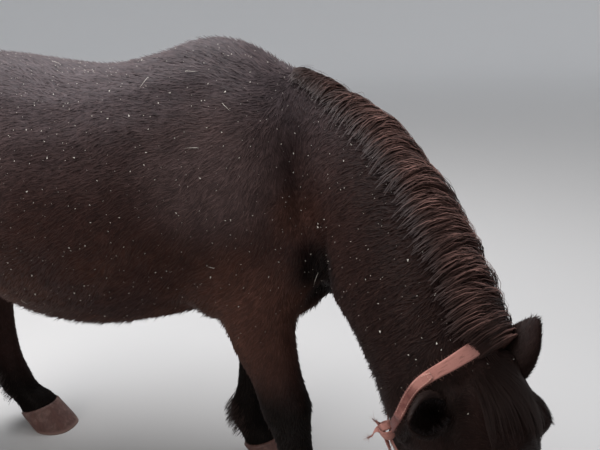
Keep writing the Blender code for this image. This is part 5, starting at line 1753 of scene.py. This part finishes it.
def ear_sheet(base, tipward, opening, curl):
    """The rolled leaf as rows of points, with its tip way and opening way."""
    tipward = tipward.normalized()
    opening = (opening - tipward * opening.dot(tipward)).normalized()
    across = tipward.cross(opening).normalized()
    rows = []
    for share, wide, deep, wrap in through(EAR_SHAPE, EAR_ROWS):
        centre = base + tipward * share * EAR_LENGTH + opening * curl * max(share, 0) ** 2
        row = []
        for k in range(EAR_COLUMNS + 1):
            angle = math.radians(wrap) * (2 * k / EAR_COLUMNS - 1)
            tuck = 1 - 0.10 * (abs(2 * k / EAR_COLUMNS - 1)) ** 6
            row.append(centre + across * math.sin(angle) * wide * tuck
                       - opening * math.cos(angle) * deep * tuck)
        rows.append(row)
    return rows, tipward, opening


# %% Each ear's wall and hair
def make_ear(name, seed):
    """One ear's wall and its hair."""
    rows, tipward, opening = ear_sheet(*EARS[name])
    bm = bmesh.new()
    grid = [[bm.verts.new(point) for point in row] for row in rows]
    for one, two in zip(grid, grid[1:]):
        for k in range(EAR_COLUMNS):
            bm.faces.new((one[k], one[k + 1], two[k + 1], two[k]))
    wall = link(bpy.data.objects.new("ear_wall_" + name, mesh_from(bm, "ear")))
    modify(wall, "SOLIDIFY", thickness=EAR_WALL, offset=0.0)
    modify(wall, "SUBSURF", levels=1, render_levels=1)
    applied(wall)
    bm = bmesh.new()
    bm.from_mesh(wall.data)
    bmesh.ops.recalc_face_normals(bm, faces=bm.faces)
    bmesh.ops.triangulate(bm, faces=bm.faces)
    bm.to_mesh(wall.data)
    bm.free()
    shade_smooth(wall.data)
    wall.data.materials.append(SKIN)
    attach(wall, "root")
    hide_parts("ear_" + name)
    draw = np.random.default_rng(seed)
    root, tip_way = np.array(EARS[name][0]), np.array(tipward)

    def faces_out(places, ways):
        local = places - root
        return ((local - np.outer(local @ tip_way, tip_way)) * ways).sum(axis=1) > 0

    points, normals = points_of(wall.data), normals_of(wall.data)
    density = np.where(faces_out(points, normals), EAR_DENSITY, EAR_DENSITY / 2)
    roots, root_normals = scatter(points, normals, triangles_of(wall.data), density, draw)
    height = (roots - root) @ tip_way / EAR_LENGTH
    out = faces_out(roots, root_normals)
    way = tip_way + np.outer(np.where(out, 0.0, 0.8), np.array(opening))
    lie = laid_along(way, root_normals, draw.normal(0, 0.22, len(roots)))
    length = np.where(out, 0.0110, 0.0165) * (1 - 0.45 * np.clip(height, 0, 1))
    length *= draw.uniform(0.6, 1.3, len(roots))
    lift = np.radians(np.where(out, 14, 30) + draw.normal(0, 7, len(roots)))
    sizes = (length, np.full(len(roots), 0.0010), lift)
    axis = (EARS[name][0], EARS[name][0] + tipward, -opening)
    tuft_piece("ear_hair_" + name, roots, root_normals, lie, sizes, COAT, axis)


for seed, (name, _) in enumerate(SIDES, 31):
    make_ear(name, seed)

# %% [markdown]
# ## Eyes
#
# A horse's eye is nearly all dark brown iris round a wide level pupil, wet enough to mirror the sky.
# A clear shell over an iris would be truer for a close portrait, but here the head is small in the
# picture. So the ball is one smooth sphere with a slight cornea and a glossy coat, in the socket that
# the solids give it. A thin dark rim closes the lids on it, and lashes stand along the upper one.

# %% Finishes of eye, lid and long hair
def eye_paint(tree):
    """Brown iris round a level pupil, darker towards the rim."""
    middle = vector_node(tree, "SUBTRACT", map_place(tree, "eye_view"), (0.5, 0.5, 0))
    pupil = vector_node(tree, "LENGTH", vector_node(tree, "MULTIPLY", middle, (1.0, 1.9, 0)))
    streaks = noise(tree, vector_node(tree, "NORMALIZE", middle), 9.0, 3.0)
    iris = mixed(tree, streaks, (0.010, 0.0045, 0.0025), (0.050, 0.021, 0.009))
    outer = ranged(tree, vector_node(tree, "LENGTH", middle), 0.24, 0.33)
    iris = mixed(tree, outer, iris, (0.012, 0.007, 0.006))
    return mixed(tree, ranged(tree, pupil, 0.20, 0.17), iris, (0.0012, 0.0012, 0.0016))


EYE = finish_of("wet_eye", eye_paint, 0.10, Specular_IOR_Level=0.10, Coat_Weight=0.22, Coat_Roughness=0.02)
RIM = finish_of("dark_lid_rim", mottled(300.0, (0.004, 0.003, 0.003), (0.014, 0.009, 0.008)), 0.32)
LONG_HAIR_DARK, LONG_HAIR_LIGHT = (0.0240, 0.0125, 0.0100), (0.500, 0.262, 0.215)


def long_hair_paint(tree):
    """Mane and tail hair: near black, some strands brown, tips faded."""
    broad = noise(tree, object_place(tree), 16.0, 3.0)
    fade = times(tree, ranged(tree, tip_value(tree), 0.0, 0.6), ranged(tree, each_hair(tree), 0.1, 1.0))
    fade = times(tree, fade, ranged(tree, broad, 0.3, 0.7, 0.4, 1.0))
    return mixed(tree, fade, LONG_HAIR_DARK, LONG_HAIR_LIGHT)


LONG_HAIR = finish_of("mane_hair", long_hair_paint, 0.44, Specular_IOR_Level=0.12)
print("the eye takes", len(EYE.node_tree.nodes), "nodes")


# %% Eyeballs, lid rims and lashes
CORNEA_RISE, CORNEA_RADIUS = 0.0012, 0.013
RIM_RADIUS = 0.0013


def smooth_ball(name, side):
    """One eyeball with its cornea."""
    bm = bmesh.new()
    bmesh.ops.create_uvsphere(bm, u_segments=64, v_segments=40, radius=EYE_RADIUS)
    look, brow, along = eye_axes(side)
    turn = Matrix((along, brow, look)).transposed().to_4x4()
    if turn.determinant() < 0:
        bmesh.ops.reverse_faces(bm, faces=bm.faces)
    view_map = bm.loops.layers.uv.new("eye_view")
    for face in bm.faces:
        for loop in face.loops:
            loop[view_map].uv = (0.5 + loop.vert.co.x / EYE_RADIUS / 2, 0.5 + loop.vert.co.y / EYE_RADIUS / 2)
    for vertex in bm.verts:
        apart = math.hypot(vertex.co.x, vertex.co.y)
        if vertex.co.z > 0:
            vertex.co.z += CORNEA_RISE * max(0, 1 - (apart / CORNEA_RADIUS) ** 2)
    bmesh.ops.transform(bm, matrix=Matrix.Translation(eye_centre[name]) @ turn, verts=bm.verts)
    ball = link(bpy.data.objects.new("eyeball_" + name, mesh_from(bm, "eyeball_" + name)))
    shade_smooth(ball.data)
    ball.data.materials.append(EYE)
    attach(ball, "root")
    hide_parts("eye_" + name)


def tube_round(name, centres, radius, finish, closed=True, sides=8):
    """A thin round bar along an array of points."""
    count = len(centres)
    way = np.roll(centres, -1, 0) - np.roll(centres, 1, 0) if closed else np.gradient(centres, axis=0)
    way = unit(way)
    one = unit(np.cross(way, np.array(FACE_FRONT) + 0.01))
    two = np.cross(way, one)
    angles = np.linspace(0, 2 * math.pi, sides, endpoint=False)
    radius = np.broadcast_to(radius, count)[:, None, None]
    points = centres[:, None] + radius * (one[:, None] * np.cos(angles)[None, :, None]
                                          + two[:, None] * np.sin(angles)[None, :, None])
    faces = []
    for i in range(count if closed else count - 1):
        for k in range(sides):
            a, b = i * sides + k, i * sides + (k + 1) % sides
            c, d = (i + 1) % count * sides + (k + 1) % sides, (i + 1) % count * sides + k
            faces += [(a, c, b), (a, d, c)]
    flat = points.reshape(-1, 3)
    if not closed:
        for end, order in ((0, 1), (count - 1, -1)):
            flat = np.vstack([flat, centres[end]])
            for k in range(sides):
                a, b = end * sides + k, end * sides + (k + 1) % sides
                faces.append((a, b, len(flat) - 1)[::order])
    return piece_from(name, flat, np.array(faces)[:, ::-1], finish)


def lid_edge(name, side, angles, radius):
    """Points along the edge of the lids."""
    reach = opening_reach(angles)
    x, y = reach * np.cos(angles), reach * np.sin(angles)
    z = np.sqrt(radius ** 2 - reach ** 2)
    return np.array(eye_centre[name]) + np.stack([x, y, z], axis=1) @ eye_frame(side)


def lashes(name, side):
    """Upper lashes, slanting down and out over the eye."""
    draw = np.random.default_rng(41)
    brow = eye_frame(side)[1]
    angles = np.sort(draw.uniform(0.20 * math.pi, 0.90 * math.pi, 90))
    roots = lid_edge(name, side, angles, EYE_RADIUS + 0.0018)
    out = unit(roots - np.array(eye_centre[name]))
    t = np.linspace(0, 1, 6)[None, :, None]
    length = draw.uniform(0.006, 0.010, len(roots))[:, None, None]
    drop = np.array(FACE_DOWN) * 0.75 - brow * 0.40 + draw.normal(0, 0.12, (len(roots), 1, 3))
    paths = roots[:, None] + length * (out[:, None] * t + drop * t ** 2)
    lock_piece("lashes_" + name, paths, brow, np.full(len(roots), 0.0005), 0.6, LONG_HAIR,
               (angles, np.arange(len(angles)) % 3), 0.05)


for name, side in SIDES:
    smooth_ball(name, side)
    edge = lid_edge(name, side, np.linspace(0, 2 * math.pi, 90, endpoint=False), EYE_RADIUS + 0.0010)
    tube_round("lid_rim_" + name, edge, RIM_RADIUS, RIM)
    lashes(name, side)

# %% [markdown]
# ## Mane and forelock
#
# The mane grows in a band along the crest, stands up in an arch, and falls on the far side. Each
# strand could be combed by hand, but there are thousands. So its path is a formula of three things:
# its share of the crest's length, how far it has fallen round the neck, and how high it lies over it.
# Strands are drawn into clumps that close towards their tips, and the outer layers arch higher than
# the inner ones. The forelock and the hair between the ears are cast onto the head in the same way.

# %% Mane
CREST = [np.array([tuple(frame_part) for frame_part in column]) for column in list(zip(*NECK_FRAMES))[:3]]
CREST_SIZES = np.array([(deep, half) for *_, deep, half in NECK_FRAMES])
CREST_FIRST, CREST_LAST = 6.0, len(NECK_FRAMES) - 1.6
MANE_PIECES = 3
MANE_STRANDS = 3500
MANE_STEPS = 9
MANE_CLUMPS, MANE_LOCKS = 42, 210
MANE_LENGTH = 0.200


def eased_power(values, power):
    """Values raised to a power, with their signs kept."""
    return np.sign(values) * np.abs(values) ** power


def mane_points(share, fall, lift):
    """Points of the mane, and the way out of the neck there."""
    where = CREST_FIRST + (CREST_LAST - CREST_FIRST) * np.clip(share, 0, 1)
    low = np.minimum(where.astype(int), len(NECK_FRAMES) - 2)
    mix = (where - low)[..., None]
    centre, rise, left = (column[low] * (1 - mix) + column[low + 1] * mix for column in CREST)
    rise, left = unit(rise), unit(left)
    sizes = CREST_SIZES[low] * (1 - mix) + CREST_SIZES[low + 1] * mix
    deep, half = sizes[..., 0], sizes[..., 1]
    top = deep * 1.18
    first, highest, lowest = (math.radians(turn) for turn in (98, 125, -20))
    angle = np.clip(first - fall / (0.35 * top + 0.65 * half), lowest, highest)
    across = eased_power(np.cos(angle), 1.08) * half
    tall = eased_power(np.sin(angle), 1.08) * top
    outward = unit(left * (np.cos(angle) / half)[..., None] + rise * (np.sin(angle) / top)[..., None])
    base = centre - rise * (deep * 0.18)[..., None]
    return base + left * across[..., None] + rise * tall[..., None] + outward * lift[..., None], outward


def mane_piece(index):
    """One layer of the mane, from the skin outwards; a few strands stray."""
    draw = np.random.default_rng(51 + index)
    count = MANE_STRANDS
    clumps = np.random.default_rng(50)
    clump_middle = (np.arange(MANE_CLUMPS) + clumps.uniform(0.15, 0.85, MANE_CLUMPS)) / MANE_CLUMPS
    clump_drift = clumps.normal(0.045, 0.030, MANE_CLUMPS)
    clump_reach = clumps.uniform(0.84, 1.10, MANE_CLUMPS)
    clump_bulge = clumps.uniform(0.84, 1.06, MANE_CLUMPS)
    lock_middle = np.sort(draw.random(MANE_LOCKS))
    share = draw.random(count)
    lock = np.abs(share[:, None] - lock_middle[None]).argmin(axis=1)
    clump = np.abs(lock_middle[lock][:, None] - clump_middle[None]).argmin(axis=1)
    ends = np.minimum(1, np.minimum(0.30 + 3.0 * share, 0.36 + 3.0 * (1.2 - share)))
    layer = (index + draw.random(count)) / MANE_PIECES
    near = np.minimum(np.abs(draw.normal(0, 0.5, count)), 1.6) * (1 - 0.85 * ease(0.86, 0.98, share))
    root_fall = 0.014 - 0.044 * near
    bulge = (0.005 + (0.026 + 0.034 * share) * layer) * ends * clump_bulge[clump]
    bulge *= 1 - 0.40 * np.minimum(near, 1)
    reach = (MANE_LENGTH - 0.030 * layer) * ends * clump_reach[clump] * draw.uniform(0.70, 1.06, count)
    reach -= root_fall
    stray = draw.random(count) < 0.03
    t = np.linspace(0, 1, MANE_STEPS)[None]
    to_lock = (lock_middle[lock] - share)[:, None] * 0.85 * t ** 0.8
    to_clump = (clump_middle[clump] - lock_middle[lock])[:, None] * 0.62 * t ** 1.3
    along = share[:, None] + to_lock + to_clump + (0.010 + clump_drift[clump])[:, None] * t ** 1.5
    wave = 0.0035 * np.sin(5 * t + draw.uniform(0, 6.3, count)[:, None]) * t
    along = along + wave + np.where(stray, draw.normal(0, 0.03, count), 0)[:, None] * t ** 2
    fall = root_fall[:, None] + reach[:, None] * t
    arch = np.sin(np.pi * 0.90 * t ** 0.9)
    lift = -0.0018 + bulge[:, None] * arch + draw.normal(0, 0.0016, (count, 1)) * t
    lift += np.where(stray, draw.uniform(0.004, 0.016, count), 0)[:, None] * t ** 1.5
    points, outward = mane_points(along, fall, np.maximum(lift, 0.0022 * (t > 0.15)))
    width = draw.uniform(0.0010, 0.0022, count) * np.where(stray, 0.5, 1.0) * (1 - 0.3 * np.minimum(near, 1))
    lock_piece(f"mane_{index + 1}", points, outward, width, 0.5, LONG_HAIR, (share, root_fall),
               0.16 + 0.84 * ease(0.0, 0.30, share))


for index in range(MANE_PIECES):
    mane_piece(index)

# %% Forelock
FORELOCK_STRANDS = 1100
CAST_STEPS = 9


def cast_hair(count, station):
    """Paths over the head, and the way out along them; station gives origin, way and height there."""
    paths, outward = np.empty((count, CAST_STEPS, 3)), np.empty((count, CAST_STEPS, 3))
    for i in range(count):
        for k in range(CAST_STEPS):
            origin, way, height = station(i, k / (CAST_STEPS - 1))
            paths[i, k] = surface_hit(origin, way) + way * (height if k else -0.002)
            outward[i, k] = way
    return paths, outward


def forelock():
    """Hair from between the ears, lying down the forehead and over the left brow."""
    draw = np.random.default_rng(61)
    count = FORELOCK_STRANDS
    turn = draw.normal(26, 24, count).clip(-30, 72)
    middles = draw.uniform(-30, 72, 26)
    clump = middles[np.abs(turn[:, None] - middles).argmin(axis=1)]
    reach = draw.uniform(0.085, 0.150, count) * (0.62 + 0.38 * ease(-10, 50, turn))
    start = draw.uniform(0.000, 0.030, count)
    high = draw.uniform(0.001, 0.009, count) * (1 - 0.6 * ease(30, 60, turn))

    def station(i, t):
        angle = math.radians(between(turn[i], clump[i], 0.6 * t) * between(0.60, 1.0, t))
        way = FACE_FRONT * math.cos(angle) + FACE_LEFT * math.sin(angle)
        height = high[i] * math.sin(math.pi * (0.1 + 0.8 * t)) + 0.0015
        return on_head(start[i] + reach[i] * t, 0, -0.060), way, height

    paths, outward = cast_hair(count, station)
    width = draw.uniform(0.0006, 0.0011, count)
    lock_piece("forelock", paths, outward, width, 0.45, LONG_HAIR, (turn, start), 0.05)


forelock()

# %% Hair of the poll
POLL_STRANDS = 500


def poll_hair():
    """The last of the mane, which sweeps over the crown strap to lie between the ears."""
    draw = np.random.default_rng(66)
    count = POLL_STRANDS
    across = draw.normal(0, 0.5, count).clip(-1, 1)
    clump = np.round(across * 4) / 4
    reach = draw.uniform(0.050, 0.082, count)
    high = draw.uniform(0.003, 0.009, count)

    def station(i, t):
        left = 0.030 + between(across[i], clump[i], 0.5 * t) * 0.018 + 0.008 * t
        height = high[i] * math.sin(math.pi * min(0.98, 0.08 + 0.98 * t)) + 0.001
        return on_head(-0.062 + 0.006 * across[i] + reach[i] * t, left, -0.080), FACE_FRONT, height

    paths, outward = cast_hair(count, station)
    paths = np.moveaxis(smoothed(np.moveaxis(paths, 1, 0), False, 2), 0, 1)
    width = draw.uniform(0.0009, 0.0018, count)
    lock_piece("poll_hair", paths, outward, width, 0.45, LONG_HAIR, (across, reach), 0.15)


poll_hair()

# %% [markdown]
# ## Chaff in the coat
#
# A pony that lies in a paddock carries crumbs of dry grass and dust in its coat. Specks in the paint
# would lie under the hair, so they are small pieces of their own at the ends of the hair, with a few
# broken stems among them.

# %% Crumbs and stems
CRUMBS, STEMS = 2300, 20
CRUMB_SIZE, CRUMB_HEIGHT = 0.0011, 0.0042
STEM_WIDTH, STEM_HEIGHT = 0.0008, 0.0055


CHAFF = finish_of("dry_chaff", mottled(90.0, (0.30, 0.25, 0.20), (0.62, 0.58, 0.52)), 0.8)


def chaff():
    """Crumbs as small uneven flakes, and stems as thin tapered locks, laid on the coat."""
    draw = np.random.default_rng(68)
    upper = ease(0.40, 0.60, skin_points[:, 2]) * (1 - regions(skin_points)[2]) + 0.001
    roots, normals = scatter(skin_points, skin_normals, skin_triangles, upper * CRUMBS / 1.4, draw)
    roots, normals = roots[~bare(roots)], normals[~bare(roots)]
    lie = laid_along(draw.normal(size=roots.shape), normals, np.zeros(len(roots)))
    size = draw.lognormal(math.log(CRUMB_SIZE), 0.52, len(roots)).clip(0.0005, 0.0040)
    high = CRUMB_HEIGHT * (1 - regions(roots)[0] * 0.5)
    points, triangles, soft, _ = tufts(roots + normals * high[:, None], normals, lie, size, size * 0.7,
                                       np.full(len(roots), 0.3))
    piece_from("chaff_crumbs", points, triangles, CHAFF, soft)
    picked = draw.choice(len(roots), STEMS, replace=False)
    t = np.linspace(0, 1, 5)[None, :, None]
    long = draw.uniform(0.012, 0.034, STEMS)[:, None, None]
    bend = laid_along(lie[picked], normals[picked], np.full(STEMS, math.pi / 2))[:, None]
    starts = (roots[picked] + normals[picked] * STEM_HEIGHT)[:, None]
    paths = starts + lie[picked][:, None] * long * t + bend * long * 0.1 * t ** 2
    lock_piece("chaff_stems", paths, normals[picked][:, None], np.full(STEMS, STEM_WIDTH), 0.6, CHAFF)


chaff()

# %% [markdown]
# ## Tail and fetlock hair
#
# The tail's long hair grows all round the dock and hangs in one soft bell that closes towards the
# ground. One solid bell would look carved, so strands in forty clumps fall from the dock, each with
# its own swing. Flat hair covers the dock's root. The fetlocks carry a tuft of longer hair behind.

# %% Tail
# Stations: x, height, radius.
DOCK = (
    (-0.545, 0.868, 0.034),
    (-0.585, 0.852, 0.034),
    (-0.612, 0.808, 0.030),
    (-0.624, 0.740, 0.025),
    (-0.627, 0.665, 0.020),
    (-0.627, 0.590, 0.014),
)
DOCK_DENSITY = 12e4
TAIL_STRANDS = 2600
TAIL_STEPS = 11
TAIL_CLUMPS = 40
TAIL_TIP_HEIGHT = 0.125
# The turn from one clump to the next, which spreads them evenly round the dock.
GOLDEN_TURN = 2.399


def dock_core():
    """The fleshy dock that carries the tail hair."""
    run = through([(x + PLACE.x, z, radius * 0.82) for x, z, radius in DOCK], 4)
    centres = np.array([(x, PLACE.y, z) for x, z, _ in run])
    radii = np.array([radius for *_, radius in run])
    return tube_round("dock", centres, radii, LONG_HAIR, closed=False, sides=20)


def tail_hair():
    """Long strands set round the dock."""
    draw = np.random.default_rng(71)
    count = TAIL_STRANDS
    run = np.array(through([(x + PLACE.x, z, radius) for x, z, radius in DOCK], 8))
    share = draw.random(count) ** 0.85
    at = share * (len(run) - 1) * 0.98
    low = at.astype(int)
    dock = run[low] + (run[np.minimum(low + 1, len(run) - 1)] - run[low]) * (at - low)[:, None]
    clump = draw.integers(0, TAIL_CLUMPS, count)
    around = math.pi + clump * GOLDEN_TURN + draw.normal(0, 0.16, count)
    out = unit(np.stack([np.cos(around) * 0.8 - 0.25, np.sin(around), np.zeros(count)], axis=1))
    tip_height = TAIL_TIP_HEIGHT + 0.15 * (1 - share) * draw.random(TAIL_CLUMPS)[clump]
    tip_height += 0.05 * draw.random(count)
    spread = (0.030 + 0.020 * draw.random(TAIL_CLUMPS)[clump]) * draw.uniform(0.3, 1.0, count)
    t = np.linspace(0, 1, TAIL_STEPS)[None]
    height = dock[:, 1][:, None] * (1 - t) + tip_height[:, None] * t
    bell = np.sin(np.pi * np.minimum(0.5, 0.10 + t * 0.7)) * (1 - 0.62 * np.maximum(0, t - 0.45))
    swing = dock[:, 2][:, None] * (0.6 - 0.35 * t) + spread[:, None] * bell
    phase = draw.uniform(0, 6.3, TAIL_CLUMPS)[clump][:, None] + draw.normal(0, 0.3, (count, 1))
    x = dock[:, 0][:, None] - 0.020 * np.sin(np.pi * t * 0.8) + out[:, :1] * swing
    x += 0.010 * np.sin(5 * t + phase) * t
    y = PLACE.y + out[:, 1:2] * swing + 0.012 * np.sin(4 * t + 2 * phase) * t
    paths = np.stack([x, y, height], axis=2)
    width = draw.uniform(0.0014, 0.0034, count)
    hair = lock_piece("tail_hair", paths, out[:, None], width, 0.5, LONG_HAIR,
                      (np.mod(around, 2 * math.pi), share), 0.35)
    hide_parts("tail")


def dock_hair(dock):
    """Flat hair over the root of the dock, which runs into the tail."""
    draw = np.random.default_rng(72)
    points, normals = points_of(dock.data), normals_of(dock.data)
    density = DOCK_DENSITY * ease(0.62, 0.80, points[:, 2]) + 1.0
    roots, out = scatter(points, normals, triangles_of(dock.data), density, draw)
    lie = laid_along(np.tile((-0.55, 0.0, -0.80), (len(roots), 1)), out, draw.normal(0, 0.15, len(roots)))
    length = draw.uniform(0.030, 0.062, len(roots))
    lift = np.radians(draw.normal(9, 4, len(roots)).clip(2, 22))
    sizes = (length, np.full(len(roots), 0.0021), lift)
    root, end = (PLACE + Vector((DOCK[k][0], 0, DOCK[k][1])) for k in (0, -1))
    tuft_piece("dock_hair", roots, out, lie, sizes, LONG_HAIR, (root, end, -FORWARD), 0.25)


dock_hair(dock_core())
tail_hair()

# %% Fetlock hair
FEATHER_STRANDS = 370
FEATHER_LENGTH = 0.044


def feather(name, stations, seed):
    """The longer hair behind one fetlock, and a fringe over the coronet."""
    draw = np.random.default_rng(seed)
    count = FEATHER_STRANDS
    fetlock, coronet = Vector(stations[FETLOCK_STATION][:3]), Vector(stations[CORONET_STATION][:3])
    radius = stations[FETLOCK_STATION][4]
    around = math.pi + draw.normal(0, 0.75, count).clip(-1.7, 1.7)
    out = np.stack([np.cos(around), np.sin(around), np.zeros(count)], axis=1)
    height = draw.uniform(-0.034, 0.040, count)
    slide = (height / (fetlock.z - coronet.z))[:, None] * np.array(fetlock - coronet)
    rise = np.where(height[:, None] < 0, slide, np.outer(height, UP))
    roots = np.array(fetlock) + out * radius * 0.84 + rise
    length = FEATHER_LENGTH * draw.uniform(0.5, 1.05, count) * (1 - 0.45 * np.abs(around - math.pi) / 1.7)
    t = np.linspace(0, 1, 7)[None, :, None]
    flare = radius * 0.32 * np.sin(np.pi * (0.04 + 0.50 * t)) * draw.uniform(0.5, 1.1, (count, 1, 1))
    paths = (roots[:, None] + out[:, None] * flare - np.array((0, 0, 1)) * length[:, None, None] * t
             + np.array((-0.014, 0, 0)) * t ** 1.5)
    paths[:, :, 2] = np.maximum(paths[:, :, 2], 0.006)
    width = draw.uniform(0.0010, 0.0022, count)
    lock_piece("feather_" + name, paths, out[:, None], width, 0.45, LONG_HAIR,
               (around, height), 0.06)


for seed, (name, stations) in enumerate(LEGS.items(), 81):
    feather(name, stations, seed)

# %% [markdown]
# ## Hooves
#
# The wall of a hoof slopes forward from the hairy coronet, in rings that grew through the year. A
# tapered cylinder would lack the wear. So rows of points are lofted with a ripple for the growth
# rings and a little unevenness towards the worn lower edge.

# %% Hooves
HOOF_LENGTH, HOOF_WIDTH = 0.118, 0.106
# How far forward the toe lies for each metre of height.
HOOF_SLOPE = 0.62
CORONET_TILT = math.radians(17)
HOOF_COLUMNS, HOOF_ROWS = 72, 26


def horn_paint(tree):
    """Dusty horn: pinkish brown, streaked along its growth, paler at the worn edge."""
    place = object_place(tree)
    streaks = noise(tree, stretched(tree, place, (160.0, 160.0, 22.0)), 1.0, 4.0)
    colour = mixed(tree, streaks, (0.044, 0.017, 0.013), (0.150, 0.064, 0.049))
    dust = times(tree, ranged(tree, noise(tree, place, 60.0), 0.45, 0.7), 0.5)
    colour = mixed(tree, dust, colour, (0.205, 0.120, 0.096))
    worn = ranged(tree, split(tree, place)[2], 0.012, 0.001)
    return mixed(tree, worn, colour, (0.22, 0.13, 0.105))


def horn_height(tree):
    """A fine grain."""
    return noise(tree, object_place(tree), 260.0, 3.0)


HORN = finish_of("dusty_horn", horn_paint, 0.58, horn_height, 0.5, 0.001)


def make_hoof(name, stations, seed):
    """One hoof, flat on the floor."""
    centre = Vector(stations[CORONET_STATION][:3])
    angles = np.linspace(0, 2 * math.pi, HOOF_COLUMNS, endpoint=False)
    fore, across = np.cos(angles), np.sin(angles)
    long = HOOF_LENGTH / 2 * np.where(fore > 0, 1.0, 0.90)
    round_x = eased_power(fore, 0.9) * long
    round_y = eased_power(across, 0.85) * HOOF_WIDTH / 2
    rows = []
    for row in range(HOOF_ROWS):
        share = row / (HOOF_ROWS - 1)
        scale = between(1.0, 0.885, share) - 0.03 * (1 - share) ** 12
        rings = 0.0022 * math.sin(share * 30) * (1 - share) * share * 2
        bulge = np.stack([round_x, round_y], axis=1) * (scale + rings)
        uneven = ripple(np.column_stack([bulge, np.full(HOOF_COLUMNS, share * 0.05)]), 0.02, seed)
        bulge *= 1 + 0.006 * uneven[:, None] * (1 - share)
        top_x = bulge[:, 0] * 0.96
        top_z = centre.z - 0.0010 + math.tan(CORONET_TILT) * top_x
        foot_x = bulge[:, 0] + HOOF_SLOPE * centre.z + 0.010
        z = top_z * share
        x = centre.x + foot_x * (1 - share) + top_x * share
        rows.append(np.stack([x, centre.y + bulge[:, 1], z], axis=1))
    crown = rows[-1]
    middle = crown.mean(axis=0)
    rows.append(middle + (crown - middle) * 0.86 + np.array((0, 0, 0.003)))
    sole = rows[0].mean(axis=0)
    points = np.vstack([sole[None], *rows, rows[-1].mean(axis=0)[None]])
    faces = []
    for row in range(len(rows) - 1):
        for k in range(HOOF_COLUMNS):
            a, b = 1 + row * HOOF_COLUMNS + k, 1 + row * HOOF_COLUMNS + (k + 1) % HOOF_COLUMNS
            faces += [(a, b, b + HOOF_COLUMNS), (a, b + HOOF_COLUMNS, a + HOOF_COLUMNS)]
    last = 1 + (len(rows) - 1) * HOOF_COLUMNS
    for k in range(HOOF_COLUMNS):
        faces.append((0, 1 + (k + 1) % HOOF_COLUMNS, 1 + k))
        faces.append((last + k, last + (k + 1) % HOOF_COLUMNS, len(points) - 1))
    made = piece_from("horn_" + name, points, np.array(faces), HORN)
    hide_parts("hoof_" + name.replace("leg", ""))


for seed, (name, stations) in enumerate(LEGS.items(), 91):
    make_hoof(name, stations, seed)
